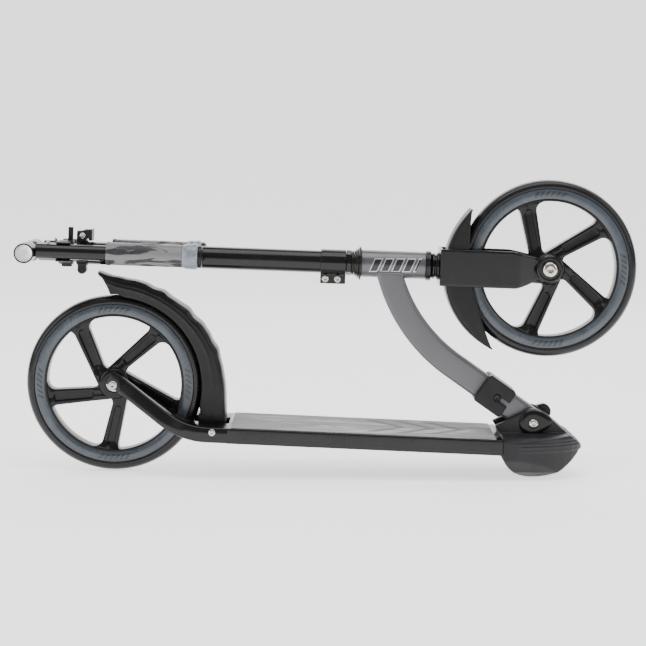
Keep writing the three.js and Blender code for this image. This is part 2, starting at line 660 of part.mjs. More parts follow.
// ---- column tubes ----
const columnBore = OUTER_COLUMN_RADIUS - COLUMN_WALL;
add(column, "outer_column", tubeZ(OUTER_COLUMN_RADIUS, columnBore, 131.3, OUTER_COLUMN_END), blackPaint);
const innerRadius = columnBore - 0.5;
const teeCut = pinY(TEE_RADIUS + FIT_GAP, -60, 60, ROUND).translate([0, 0, TEE_PLACE]);
const innerColumn = tubeZ(innerRadius, innerRadius - 2, INNER_COLUMN_START, TEE_PLACE).subtract(teeCut);
add(column, "inner_column", innerColumn, blackPaint);
const tee = turnedY([
  [TEE_RADIUS - TEE_WALL, -TEE_LENGTH / 2], [TEE_RADIUS, -TEE_LENGTH / 2],
  [TEE_RADIUS, TEE_LENGTH / 2], [TEE_RADIUS - TEE_WALL, TEE_LENGTH / 2],
]).translate([0, 0, TEE_PLACE]);
add(column, "handlebar_tee", tee, blackPaint);

// ---- clamp that ties the column to the fork's steerer ----
const clampBore = OUTER_COLUMN_RADIUS + FIT_GAP;
const CLAMP_SCREWS = [142.6, 159.7];
const CLAMP_RADIUS = OUTER_COLUMN_RADIUS + 2.4;
const CLAMP_SCREW_X = -CLAMP_RADIUS - 4.8;
function columnClamp() {
  const [z0, z1] = [131.4, 167];
  const tab = block(CLAMP_SCREW_X - 7, CLAMP_SCREW_X + 9, -8, 8, z0, z1);
  let made = pinZ(CLAMP_RADIUS, z0, z1).add(tab).subtract(pinZ(clampBore, z0 - 1, z1 + 1));
  made = made.subtract(block(CLAMP_SCREW_X - 9, 0, -1.2, 1.2, z0 - 1, z1 + 1));
  for (const z of CLAMP_SCREWS) made = made.subtract(pinY(2.8, -12, 12).translate([CLAMP_SCREW_X, 0, z]));
  return made;
}
add(column, "column_clamp", columnClamp(), blackPaint);
CLAMP_SCREWS.forEach((z, i) => {
  const screw = bolt(2.5, 5.3, 3.4, -8 - FIT_GAP, 8.5).translate([CLAMP_SCREW_X, 0, z]);
  add(column, `column_clamp_screw_${i + 1}`, screw, bareSteel);
});

// ---- height clamp and its quick-release lever ----
const HEIGHT_CLAMP_RADIUS = OUTER_COLUMN_RADIUS + 1.8;
const LEVER_X = HEIGHT_CLAMP_RADIUS + 7.4;
const LOBE_X = -HEIGHT_CLAMP_RADIUS - 5.4;
const LEVER_Z = OUTER_COLUMN_END - 3;
function heightClamp() {
  const [z0, z1] = [OUTER_COLUMN_END - 9.5, OUTER_COLUMN_END + 6];
  let made = pinZ(HEIGHT_CLAMP_RADIUS, z0, z1).add(block(LEVER_X - 13, LEVER_X + 6.2, -9, 9, z0 + 2, z1));
  made = made.add(pinY(6.6, -8, 8).translate([LOBE_X, 0, LEVER_Z + 1]));
  made = made.add(block(LOBE_X + 1, LOBE_X + 9, -8, 8, z0 + 1.5, z1 - 2));
  made = made.subtract(pinZ(clampBore, z0 - 1, OUTER_COLUMN_END + FIT_GAP));
  made = made.subtract(pinZ(innerRadius + 0.5, OUTER_COLUMN_END - 5, z1 + 1));
  made = made.subtract(block(0, 40, -1.5, 1.5, z0 - 1, z1 + 1));
  return made.subtract(pinY(2.8, -12, 12).translate([LEVER_X, 0, LEVER_Z]));
}
add(column, "height_clamp", heightClamp(), blackPlastic);
const leverBolt = bolt(2.5, 4.6, 3, -14, 14).translate([LEVER_X, 0, LEVER_Z]);
add(column, "height_clamp_bolt", leverBolt, bareSteel);
function heightLever() {
  const [x, z] = [LEVER_X, LEVER_Z];
  const cheek = pinY(7, -13.5, -9.4).add(pinY(7, 9.4, 13.5)).translate([x, 0, z]);
  const arms = block(x - 4, x + 8, -13.5, -9.4, z - 12, z).add(block(x - 4, x + 8, 9.4, 13.5, z - 12, z));
  const paddle = block(x - 7, x + 9, -13.5, 13.5, z - 13, z - 8.5);
  return cheek.add(arms).add(paddle).subtract(pinY(2.8, -20, 20).translate([x, 0, z]));
}
add(column, "height_lever", heightLever(), blackPlastic);

// ---- holder that keeps the folded handles beside the column ----
function gripHolder() {
  const [z0, z1] = [516, 536];
  const arm = HANDLE_TUBE_RADIUS + 0.6;
  let made = pinZ(17, z0, z1);
  for (const side of [-1, 1]) {
    const y = side * HANDLE_OFFSET;
    const cradle = pinZ(arm + 2.8, z0, z1, 24).translate([HANDLE_RISE, y, 0]);
    const outside = [y + side * 5, y + side * 30].sort((a, b) => a - b);
    const opening = block(-30, 30, ...outside, z0 - 1, z1 + 1);
    const neck = block(-6, 10, Math.min(0, side * 27), Math.max(0, side * 27), z0, z1);
    made = made.add(cradle.subtract(opening)).add(neck);
    made = made.subtract(pinZ(arm, z0 - 1, z1 + 1, 24).translate([HANDLE_RISE, y, 0]));
    const wayOut = [y, y + side * 30].sort((a, b) => a - b);
    made = made.subtract(block(HANDLE_RISE - arm, HANDLE_RISE + arm, ...wayOut, z0 - 1, z1 + 1));
  }
  made = made.add(block(10, 36, -3, 3, z0 + 1, z0 + 8)).add(block(-20, -10, -5, 5, z0 + 2, z1 - 4));
  return made.subtract(pinZ(innerRadius + FIT_GAP, z0 - 1, z1 + 1));
}
add(column, "grip_holder", gripHolder(), blackPlastic);

// ---- handles: a plug tube, a grip, a flange and an end ring, with a snap button ----
function addHandle(side, sign) {
  const place = (made) => made.translate([HANDLE_RISE, sign * HANDLE_OFFSET, 0]);
  const top = TEE_PLACE - TEE_RADIUS - 1;
  const button = 547;
  const buttonHole = solid(new THREE.CylinderGeometry(2.8, 2.8, 20, 12)).rotate([0, 0, 90])
    .translate([HANDLE_TUBE_RADIUS, 0, button]);
  const tube = tubeZ(HANDLE_TUBE_RADIUS, HANDLE_TUBE_RADIUS - 1.6, 340, top, 24).subtract(buttonHole);
  add(column, `${side}_handle_tube`, place(tube), blackPaint);
  const sleeve = HANDLE_TUBE_RADIUS + FIT_GAP;
  const grip = turnedZ([
    [sleeve, GRIP_START], [GRIP_RADIUS, GRIP_START], [GRIP_RADIUS, GRIP_END - 6],
    [GRIP_RADIUS + 0.6, GRIP_END - 5], [GRIP_RADIUS + 0.6, GRIP_END], [sleeve, GRIP_END],
  ], 24);
  add(column, `${side}_grip`, place(grip), gripGrey);
  const flange = turnedZ([
    [sleeve, 338], [17, 338], [18.2, 341], [18.2, 352], [16.5, 359.7], [sleeve, 359.7],
  ], 24);
  add(column, `${side}_grip_flange`, place(flange), flangeGrey);
  add(column, `${side}_grip_end`, place(pinZ(16, 331.5, 337.7, 24)), blackPlastic);
  const pin = solid(new THREE.CylinderGeometry(2.5, 2.5, 8.6, 12)).rotate([0, 0, 90])
    .translate([HANDLE_TUBE_RADIUS - 1, 0, button]);
  add(column, `${side}_snap_button`, place(pin), bareSteel);
}
addHandle("near", -1);
addHandle("far", 1);

// The part's origin is on the ground, in the middle of the folded scooter's length.
scooter.updateMatrixWorld(true);
scooter.position.x = -new THREE.Box3().setFromObject(scooter, true).getCenter(new THREE.Vector3()).x;

export default scooter;
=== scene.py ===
import json
import math

import bmesh
import bpy
import numpy as np
from mathutils import Matrix, Vector


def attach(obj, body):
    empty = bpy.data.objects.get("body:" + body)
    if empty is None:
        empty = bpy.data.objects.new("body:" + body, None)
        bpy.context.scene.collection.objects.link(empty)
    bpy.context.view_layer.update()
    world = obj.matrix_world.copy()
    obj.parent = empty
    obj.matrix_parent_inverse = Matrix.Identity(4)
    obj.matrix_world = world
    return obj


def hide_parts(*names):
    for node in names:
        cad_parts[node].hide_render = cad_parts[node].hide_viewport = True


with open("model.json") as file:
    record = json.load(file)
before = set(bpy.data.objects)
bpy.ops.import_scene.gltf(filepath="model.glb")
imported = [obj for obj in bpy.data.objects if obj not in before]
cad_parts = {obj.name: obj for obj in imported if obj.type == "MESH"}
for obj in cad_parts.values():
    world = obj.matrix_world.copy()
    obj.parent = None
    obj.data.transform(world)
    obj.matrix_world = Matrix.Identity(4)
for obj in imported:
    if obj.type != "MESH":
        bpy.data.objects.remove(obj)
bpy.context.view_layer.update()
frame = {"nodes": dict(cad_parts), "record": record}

bl_info = {
    "name": "Folding Kick Scooter",
    "version": (1, 0, 0),
    "blender": (4, 5, 0),
    "location": "3D View > Sidebar > Scooter",
    "description": "Builds the looks of a folded kick scooter around its packed frame",
    "category": "Object",
}

# ---------------------------------------------------------------- where things are
MM = 0.001


def joint_named(name):
    """The record's entry for one joint."""
    for joint in frame["record"]["behaviour"]["joints"]:
        if joint["name"] == name:
            return joint
    raise RuntimeError(f"no joint is called {name}")


FOLD_AXIS = np.array(joint_named("fold")["pos_m"])
CROWN = np.array(joint_named("steer")["pos_m"])
REAR_AXLE = np.array(joint_named("rear_wheel_spin")["pos_m"])
FRONT_AXLE = np.array(joint_named("front_wheel_spin")["pos_m"])
BRAKE_PIN = np.array(joint_named("brake_press")["pos_m"])
UP_COLUMN = np.array(joint_named("steer")["axis"])
ACROSS = np.array([0.0, 1.0, 0.0])
OFF_COLUMN = np.cross(ACROSS, UP_COLUMN)  # square to the column, pointing up as it lies folded
# The drawing's zero lies this far from the middle of the folded length.
DRAWING_SHIFT = FOLD_AXIS[0] - 292 * MM
COLUMN_AXES = np.stack([OFF_COLUMN, ACROSS, UP_COLUMN])

# Sizes that more than one piece follows, in millimetres.
DECK_HALF_WIDTH = 72
DECK_HALF_THICKNESS = 10.75
DECK_FRONT_X = 246
DECK_BEND = (-200, 63)
CHANNEL_END_X = -137
ARM_SLOPE = math.radians(35.1)
ARM_REACH = 128
GUARD_HALF_WIDTH = 25
GUARD_ARC = 120.6  # radius of the front mudguard's crown
STEM_HALF_WIDTH = 16
STEM_HALF_DEPTH = 18.25
HEAD_TUBE_RADIUS = 19.2
COLUMN_RADIUS = 15.8
STEERER_BORE = 12.8  # inner radius of every ring round the steerer
TEE_PLACE = 578
TEE_RADIUS = 13.9
TEE_HALF_LENGTH = 55
HANDLE_RISE = 3.0
HANDLE_OFFSET = 37
HANDLE_TUBE_RADIUS = 10.8


def from_drawing(points):
    """Points of the drawing (mm) in the row's frame (m)."""
    return np.asarray(points, float) * MM + np.array([DRAWING_SHIFT, 0, 0])


def from_column(points):
    """Points given off, across and up the steering column (mm), in the row's frame (m)."""
    return np.asarray(points, float) @ COLUMN_AXES * MM + CROWN


# ---------------------------------------------------------------- surfaces
def smooth_step(x, low, high):
    """0 below low, 1 above high, and 3t^2 - 2t^3 between them."""
    t = np.clip((np.asarray(x, float) - low) / (high - low), 0, 1)
    return t * t * (3 - 2 * t)


def rounded(points, radius, steps=5):
    """A closed outline whose corners are arcs: each leaves its sides radius away from the
    corner and follows the parabola that has the corner as its middle control point."""
    p = np.asarray(points, float)
    back = np.roll(p, 1, 0) - p
    ahead = np.roll(p, -1, 0) - p
    back_length = np.linalg.norm(back, axis=1, keepdims=True)
    ahead_length = np.linalg.norm(ahead, axis=1, keepdims=True)
    r = np.broadcast_to(radius, len(p))[:, None].astype(float)
    start = p + back / back_length * np.minimum(r, 0.48 * back_length)
    end = p + ahead / ahead_length * np.minimum(r, 0.48 * ahead_length)
    t = np.linspace(0, 1, steps)[None, :, None]
    arc = (1 - t) ** 2 * start[:, None] + 2 * t * (1 - t) * p[:, None] + t**2 * end[:, None]
    return arc.reshape(-1, 2)


def tube_profile(inner, outer, low, high, edge):
    """A tube's wall, with its four corners rounded."""
    return rounded([(inner, low), (outer, low), (outer, high), (inner, high)], edge)


class Shell:
    """Grids of points gathered into one mesh."""

    def __init__(self):
        self.points = []
        self.faces = []
        self.count = 0

    def grid(self, points, wrap_rows=False, wrap_columns=False, caps=False):
        """Adds rows x columns points. Each point makes a quad with its neighbours along the
        two parameters, a wrapped parameter joins its last row to its first, and caps close
        the first and last rows with one face each."""
        rows, columns = points.shape[:2]
        r = np.arange(rows if wrap_rows else rows - 1)[:, None]
        c = np.arange(columns if wrap_columns else columns - 1)[None, :]
        r_next = (r + 1) % rows
        c_next = (c + 1) % columns
        quads = np.stack(
            [
                r * columns + c, r * columns + c_next, r_next * columns + c_next,
                r_next * columns + c
            ],
            axis=-1,
        ).reshape(-1, 4)
        self.faces += (quads + self.count).tolist()
        if caps:
            first = np.arange(columns) + self.count
            self.faces.append(first[::-1].tolist())
            self.faces.append((first + (rows - 1) * columns).tolist())
        self.points.append(points.reshape(-1, 3))
        self.count += rows * columns
        return self

    def turned(self, profile, centre, axis=ACROSS, sides=96):
        """Adds a surface of revolution: the closed profile's radius r and height h go round
        the axis as centre + h axis + r (cos a first + sin a second)."""
        profile = np.asarray(profile, float) * MM
        first = np.cross(axis, ACROSS)
        if np.linalg.norm(first) < 1e-6:
            first = np.array([1.0, 0.0, 0.0])
        first /= np.linalg.norm(first)
        second = np.cross(axis, first)
        angle = np.linspace(0, 2 * np.pi, sides, endpoint=False)
        ring = np.cos(angle)[:, None] * first + np.sin(angle)[:, None] * second
        points = (
            np.asarray(centre, float)
            + profile[None, :, 1, None] * axis
            + profile[None, :, 0, None] * ring[:, None, :]
        )
        return self.grid(points, wrap_rows=True, wrap_columns=True)

    def swept(self, path, section, caps=True):
        """Adds a section carried along a path in the X-Z plane. The path is x, z and heading
        at each station, and the section's y and offset are set square to the heading."""
        x, z, heading = (np.asarray(v, float)[:, None] for v in path)
        section = np.asarray(section, float)
        if section.ndim == 2:
            section = np.broadcast_to(section, (len(x), *section.shape))
        across, offset = section[..., 0], section[..., 1]
        points = np.stack(
            [x - np.sin(heading) * offset, across, z + np.cos(heading) * offset], axis=-1
        )
        return self.grid(from_drawing(points), wrap_columns=True, caps=caps)

    def piece(self, name, body, slot, finish, nodes=(), sharp=35):
        """The grids as one mesh, put in the scene as a piece that rides on a body."""
        return place(self.mesh(name, sharp), name, body, finish, nodes)

    def mesh(self, name, sharp=35):
        """One mesh of all the grids, with doubled points merged and faces turned outwards."""
        mesh = bpy.data.meshes.new(name)
        mesh.from_pydata(np.concatenate(self.points).tolist(), [], self.faces)
        settle(mesh, sharp)
        return mesh


def settle(mesh, sharp=35, gap=2e-6):
    """Merges doubled points, drops loose ones, turns faces outwards and sets the shading."""
    work = bmesh.new()
    work.from_mesh(mesh)
    bmesh.ops.remove_doubles(work, verts=work.verts, dist=gap)
    bmesh.ops.dissolve_degenerate(work, dist=gap, edges=work.edges)
    bmesh.ops.recalc_face_normals(work, faces=work.faces)
    work.to_mesh(mesh)
    work.free()
    mesh.shade_smooth()
    mesh.set_sharp_from_angle(angle=math.radians(sharp))
    mesh.validate()


def bent_path(start, corner, end, bend_radius, spacing=4.0, turn_steps=28):
    """A line in the X-Z plane: straight to the bend, an arc of the given radius that touches
    both straight lengths, then straight on. Returns x, z and heading at each station."""
    a, b, c = (np.array(p, float) for p in (start, corner, end))
    into = (b - a) / np.linalg.norm(b - a)
    out = (c - b) / np.linalg.norm(c - b)
    turn = math.atan2(into[0] * out[1] - into[1] * out[0], into @ out)
    side = math.copysign(1, turn)
    reach = bend_radius * math.tan(abs(turn) / 2)
    first = b - into * reach
    last = b + out * reach
    centre = first + side * bend_radius * np.array([-into[1], into[0]])
    heading = math.atan2(into[1], into[0])
    angle = heading + turn * np.linspace(0, 1, turn_steps)
    arc = centre + side * bend_radius * np.stack([np.sin(angle), -np.cos(angle)], axis=1)
    before = max(2, int(np.linalg.norm(first - a) / spacing))
    after = max(2, int(np.linalg.norm(c - last) / spacing))
    lead = a + (first - a) * np.linspace(0, 1, before, endpoint=False)[:, None]
    tail = c + (last - c) * np.linspace(0, 1, after, endpoint=False)[::-1, None]
    line = np.concatenate([lead, arc, tail])
    headings = np.concatenate([np.full(before, heading), angle, np.full(after, heading + turn)])
    return line[:, 0], line[:, 1], headings


# ---------------------------------------------------------------- pieces
MATERIALS = {}


def place(mesh, name, body, finish, nodes=()):
    """Puts a finished mesh in the scene as a piece that rides on a body."""
    piece = bpy.data.objects.new(name, mesh)
    bpy.context.scene.collection.objects.link(piece)
    mesh.materials.clear()
    mesh.materials.append(MATERIALS[finish])
    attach(piece, body)
    if nodes:
        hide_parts(*nodes)
    return piece


def rib_casting(mesh):
    """Raises the casting along its normals: by 0.9 mm above a lip at 39.3 mm, and by 0.7 mm
    more on three ribs of 4.6 mm pitch over its shoulder, all fading out towards the deck."""
    count = len(mesh.vertices)
    points = np.empty(count * 3)
    normals = np.empty(count * 3)
    mesh.vertices.foreach_get("co", points)
    mesh.vertex_normals.foreach_get("vector", normals)
    points, normals = points.reshape(-1, 3), normals.reshape(-1, 3)
    x, z = points[:, 0] / MM, points[:, 2] / MM
    lip = 0.9 * smooth_step(z, 38.6, 40.0)
    within = smooth_step(z, 43.8, 44.8) * (1 - smooth_step(z, 58.6, 59.6))
    ribs = 0.7 * (0.5 - 0.5 * np.cos(2 * np.pi * (z - 44.6) / 4.6)) * within
    rise = (lip + ribs) * smooth_step(x, 262, 274) * (1 - smooth_step(z, 60, 64))
    points += normals * rise[:, None] * MM
    mesh.vertices.foreach_set("co", points.ravel())
    mesh.update()


def softened(node, name, body, finish, cell=1.0, rounds=6, sharp=60, shape=None):
    """A cast or moulded piece: the frame's solid, rebuilt in small cells and relaxed, so
    that its corners get the radius that a mould gives them. It replaces the node."""
    mesh = frame["nodes"][node].data.copy()
    mesh.name = name
    work = bmesh.new()
    work.from_mesh(mesh)
    bmesh.ops.remove_doubles(work, verts=work.verts, dist=1e-5)
    work.to_mesh(mesh)
    work.free()
    rough = bpy.data.objects.new(f"{name}_rough", mesh)
    bpy.context.scene.collection.objects.link(rough)
    cells = rough.modifiers.new("cells", "REMESH")
    cells.mode = "VOXEL"
    cells.voxel_size = cell * MM
    relax = rough.modifiers.new("relax", "SMOOTH")
    relax.factor = 0.5
    relax.iterations = rounds
    shown = rough.evaluated_get(bpy.context.evaluated_depsgraph_get())
    finished = bpy.data.meshes.new_from_object(shown)
    finished.name = name
    bpy.data.objects.remove(rough)
    if shape:
        shape(finished)
    finished.shade_smooth()
    finished.set_sharp_from_angle(angle=math.radians(sharp))
    return place(finished, name, body, finish, (node,))


def dress(finish, *nodes):
    """Gives CAD nodes that keep their shape a finished material."""
    for node in nodes:
        mesh = frame["nodes"][node].data
        mesh.materials.clear()
        mesh.materials.append(MATERIALS[finish])


# ---------------------------------------------------------------- node groups
def group_tree(name, inputs, outputs):
    """A shader node group with named sockets. Each is a name, a type and a default."""
    tree = bpy.data.node_groups.new(name, "ShaderNodeTree")
    for label, kind, default in inputs:
        socket = tree.interface.new_socket(name=label, in_out="INPUT", socket_type=kind)
        if default is not None:
            socket.default_value = default
    for label, kind in outputs:
        tree.interface.new_socket(name=label, in_out="OUTPUT", socket_type=kind)
    start = tree.nodes.new("NodeGroupInput")
    end = tree.nodes.new("NodeGroupOutput")
    return tree, start, end


def node(tree, kind, **settings):
    """A new node, with its settings and input values."""
    made = tree.nodes.new(kind)
    for key, value in settings.items():
        if hasattr(made, key):
            setattr(made, key, value)
        else:
            made.inputs[key.replace("_", " ")].default_value = value
    return made


def math_node(tree, operation, first, second):
    """first (operation) second, where each is a socket or a number."""
    made = tree.nodes.new("ShaderNodeMath")
    made.operation = operation
    for socket, value in zip(made.inputs, (first, second)):
        if isinstance(value, (int, float)):
            socket.default_value = value
        else:
            tree.links.new(value, socket)
    return made.outputs[0]


def product(tree, first, *others):
    """The product of sockets or numbers, taken in order."""
    for other in others:
        first = math_node(tree, "MULTIPLY", first, other)
    return first


def band(tree, value, low_from, low_to, high_from=None, high_to=None):
    """A mask that rises from 0 at low_from to 1 at low_to, and falls again if told to."""
    rise = tree.nodes.new("ShaderNodeMapRange")
    rise.interpolation_type = "SMOOTHSTEP"
    rise.inputs["From Min"].default_value = low_from
    rise.inputs["From Max"].default_value = low_to
    tree.links.new(value, rise.inputs["Value"])
    if high_from is None:
        return rise.outputs[0]
    fall = tree.nodes.new("ShaderNodeMapRange")
    fall.interpolation_type = "SMOOTHSTEP"
    fall.inputs["From Min"].default_value = high_from
    fall.inputs["From Max"].default_value = high_to
    fall.inputs["To Min"].default_value = 1
    fall.inputs["To Max"].default_value = 0
    tree.links.new(value, fall.inputs["Value"])
    return product(tree, rise.outputs[0], fall.outputs[0])


def make_grain_group():
    """Fine grain: two sizes of noise, as a height and as a mask."""
    tree, start, end = group_tree(
        "Fine Grain",
        [("Vector", "NodeSocketVector", None), ("Scale", "NodeSocketFloat", 900.0)],
        [("Height", "NodeSocketFloat"), ("Mask", "NodeSocketFloat")],
    )
    fine = node(tree, "ShaderNodeTexNoise", Detail=3.0, Roughness=0.6)
    broad = node(tree, "ShaderNodeTexNoise", Detail=2.0, Roughness=0.5)
    tree.links.new(start.outputs["Vector"], fine.inputs["Vector"])
    tree.links.new(start.outputs["Vector"], broad.inputs["Vector"])
    tree.links.new(start.outputs["Scale"], fine.inputs["Scale"])
    tree.links.new(product(tree, start.outputs["Scale"], 0.2), broad.inputs["Scale"])
    both = math_node(tree, "ADD", fine.outputs["Fac"], broad.outputs["Fac"])
    tree.links.new(product(tree, both, 0.5), end.inputs["Height"])
    tree.links.new(band(tree, fine.outputs["Fac"], 0.45, 0.6), end.inputs["Mask"])
    return tree


def make_handling_group():
    """Signs of handling: cloudy smudges and a few thin scratches."""
    tree, start, end = group_tree(
        "Handling Marks",
        [("Vector", "NodeSocketVector", None), ("Scale", "NodeSocketFloat", 14.0)],
        [("Smudge", "NodeSocketFloat"), ("Scratch", "NodeSocketFloat")],
    )
    cloud = node(tree, "ShaderNodeTexNoise", Detail=5.0, Roughness=0.62, Distortion=0.6)
    tree.links.new(start.outputs["Vector"], cloud.inputs["Vector"])
    tree.links.new(start.outputs["Scale"], cloud.inputs["Scale"])
    tree.links.new(band(tree, cloud.outputs["Fac"], 0.38, 0.72), end.inputs["Smudge"])
    stretch = node(tree, "ShaderNodeMapping")
    stretch.inputs["Rotation"].default_value = (0.3, 0.9, 0.5)
    stretch.inputs["Scale"].default_value = (3, 60, 60)
    lines = node(tree, "ShaderNodeTexNoise", Scale=9.0, Detail=2.0, Distortion=0.3)
    tree.links.new(start.outputs["Vector"], stretch.inputs["Vector"])
    tree.links.new(stretch.outputs["Vector"], lines.inputs["Vector"])
    tree.links.new(band(tree, lines.outputs["Fac"], 0.69, 0.75), end.inputs["Scratch"])
    return tree


def make_dust_group():
    """Dust: thin where a face looks up, and gathered in patches."""
    tree, start, end = group_tree(
        "Settled Dust",
        [("Vector", "NodeSocketVector", None), ("Amount", "NodeSocketFloat", 0.2)],
        [("Mask", "NodeSocketFloat")],
    )
    facing = tree.nodes.new("ShaderNodeNewGeometry")
    split = tree.nodes.new("ShaderNodeSeparateXYZ")
    tree.links.new(facing.outputs["Normal"], split.inputs[0])
    patches = node(tree, "ShaderNodeTexNoise", Scale=60.0, Detail=6.0, Roughness=0.7)
    tree.links.new(start.outputs["Vector"], patches.inputs["Vector"])
    up = band(tree, split.outputs["Z"], 0.2, 1.0)
    spread = product(tree, up, band(tree, patches.outputs["Fac"], 0.4, 0.7))
    tree.links.new(product(tree, spread, start.outputs["Amount"]), end.inputs["Mask"])
    return tree


GROUPS = {}


def use_group(tree, name, vector, **values):
    """Places a shared group in a material and feeds it a vector."""
    makers = {
        "grain": make_grain_group,
        "handling": make_handling_group,
        "dust": make_dust_group,
    }
    if name not in GROUPS:
        GROUPS[name] = makers[name]()
    made = tree.nodes.new("ShaderNodeGroup")
    made.node_tree = GROUPS[name]
    tree.links.new(vector, made.inputs["Vector"])
    for key, value in values.items():
        made.inputs[key].default_value = value
    return made


# ---------------------------------------------------------------- materials
class Finish:
    """A material under construction: its tree, its shader, and its object coordinates."""

    def __init__(self, name, color, roughness, metallic=0.0, coat=0.0, specular=0.5):
        self.material = bpy.data.materials.new(name)
        self.material.use_nodes = True
        self.tree = self.material.node_tree
        self.tree.nodes.clear()
        self.shader = self.tree.nodes.new("ShaderNodeBsdfPrincipled")
        output = self.tree.nodes.new("ShaderNodeOutputMaterial")
        self.tree.links.new(self.shader.outputs[0], output.inputs[0])
        self.shader.inputs["Base Color"].default_value = (*color, 1)
        self.shader.inputs["Roughness"].default_value = roughness
        self.shader.inputs["Metallic"].default_value = metallic
        self.shader.inputs["Coat Weight"].default_value = coat
        self.shader.inputs["Coat Roughness"].default_value = 0.08
        self.shader.inputs["Specular IOR Level"].default_value = specular
        self.where = self.tree.nodes.new("ShaderNodeTexCoord").outputs["Object"]
        self.color = None
        self.base = color

    def mix(self, mask, color):
        """Lays another colour over the base where the mask is."""
        blend = self.tree.nodes.new("ShaderNodeMix")
        blend.data_type = "RGBA"
        if self.color is None:
            blend.inputs[6].default_value = (*self.base, 1)
        else:
            self.tree.links.new(self.color, blend.inputs[6])
        blend.inputs[7].default_value = (*color, 1)
        self.tree.links.new(mask, blend.inputs[0])
        self.color = blend.outputs[2]
        self.tree.links.new(self.color, self.shader.inputs["Base Color"])
        return self

    def vary_roughness(self, mask, low, high):
        """Roughness low where the mask is 0 and high where it is 1."""
        span = self.tree.nodes.new("ShaderNodeMapRange")
        span.inputs["To Min"].default_value = low
        span.inputs["To Max"].default_value = high
        self.tree.links.new(mask, span.inputs["Value"])
        self.tree.links.new(span.outputs[0], self.shader.inputs["Roughness"])
        return self

    def bump(self, height, distance, strength=1.0):
        """Raises the surface by the height, in millimetres at full height."""
        raise_up = self.tree.nodes.new("ShaderNodeBump")
        raise_up.inputs["Distance"].default_value = distance * MM
        raise_up.inputs["Strength"].default_value = strength
        self.tree.links.new(height, raise_up.inputs["Height"])
        self.tree.links.new(raise_up.outputs[0], self.shader.inputs["Normal"])
        return self

    def group(self, name, **values):
        return use_group(self.tree, name, self.where, **values)

    def mapped(self, location=(0, 0, 0), rotation=(0, 0, 0), scale=(1, 1, 1), kind="TEXTURE"):
        """Object coordinates centred, turned and stretched for a pattern on a piece."""
        change = self.tree.nodes.new("ShaderNodeMapping")
        change.vector_type = kind
        change.inputs["Location"].default_value = location
        change.inputs["Rotation"].default_value = rotation
        change.inputs["Scale"].default_value = scale
        self.tree.links.new(self.where, change.inputs["Vector"])
        return change.outputs["Vector"]


def worn(finish, low, high, grain_scale, grain_height, dust, pale):
    """The marks that every hard surface shares: smudges in the gloss, grain and dust."""
    marks = finish.group("handling")
    grain = finish.group("grain", Scale=grain_scale)
    settled = finish.group("dust", Amount=dust)
    finish.vary_roughness(marks.outputs["Smudge"], low, high)
    finish.mix(settled.outputs["Mask"], pale)
    finish.bump(grain.outputs["Height"], grain_height)
    return finish



def gloss_paint(name, color):
    """Black gloss paint on metal, with the faint ripple of a sprayed coat."""
    finish = Finish(name, color, 0.22, coat=0.25, specular=0.25)
    return worn(finish, 0.16, 0.3, 420, 0.012, 0.04, (0.12, 0.12, 0.12)).material


def moulded_plastic(name, color, low, high, grain):
    """Moulded black plastic: satin, with the mould's fine grain."""
    finish = Finish(name, color, 0.35, specular=0.28)
    return worn(finish, low, high, 1500, grain, 0.05, (0.12, 0.12, 0.125)).material


def cast_paint(name, color):
    """Sand-cast alloy under matte paint: pitted, with darker hollows."""
    finish = Finish(name, color, 0.5, specular=0.3)
    worn(finish, 0.42, 0.6, 1100, 0.1, 0.12, (0.12, 0.115, 0.12))
    specks = finish.group("grain", Scale=2400.0)
    finish.mix(product(finish.tree, specks.outputs["Mask"], 0.35), (0.05, 0.047, 0.053))
    return finish.material


def metallic_paint(name, color):
    """Grey metallic paint: bright flakes under a satin coat."""
    finish = Finish(name, color, 0.4, metallic=0.55, coat=0.25)
    worn(finish, 0.34, 0.46, 700, 0.015, 0.1, (0.5, 0.5, 0.5))
    flakes = node(finish.tree, "ShaderNodeTexVoronoi", Scale=2600.0)
    finish.tree.links.new(finish.where, flakes.inputs["Vector"])
    glint = band(finish.tree, flakes.outputs["Distance"], 0.28, 0.1)
    finish.mix(product(finish.tree, glint, 0.25), (0.3, 0.295, 0.315))
    return finish.material


def head_tube_paint(name, color):
    """The same paint, with four slanted dark bars edged in pale grey along the tube."""
    finish = Finish(name, color, 0.4, metallic=0.55, coat=0.25)
    worn(finish, 0.34, 0.46, 700, 0.015, 0.1, (0.5, 0.5, 0.5))
    tree = finish.tree
    split = tree.nodes.new("ShaderNodeSeparateXYZ")
    tree.links.new(finish.where, split.inputs[0])
    height = math_node(tree, "SUBTRACT", split.outputs["Z"], CROWN[2] + 1.9 * MM)
    slant = product(tree, height, 0.45)
    along = math_node(tree, "SUBTRACT", split.outputs["X"], slant)
    along = math_node(tree, "SUBTRACT", along, DRAWING_SHIFT + 62 * MM)
    step = product(tree, along, 1 / (15.5 * MM))
    cell = math_node(tree, "FRACT", step, 0)
    reach = math_node(tree, "ABSOLUTE", height, 0)
    side = product(tree, split.outputs["Y"], -1.0)
    inside = band(tree, step, 0, 0.02, 4.3, 4.34)
    inside = product(tree, inside, band(tree, side, 0, 0.002))
    wide = product(tree, band(tree, cell, 0.04, 0.08, 0.8, 0.84), inside)
    wide = product(tree, wide, band(tree, reach, 0.0098, 0.0094))
    narrow = product(tree, band(tree, cell, 0.12, 0.15, 0.73, 0.76), inside)
    narrow = product(tree, narrow, band(tree, reach, 0.0085, 0.0081))
    finish.mix(wide, (0.55, 0.55, 0.57))
    finish.mix(narrow, (0.03, 0.03, 0.033))
    return finish.material


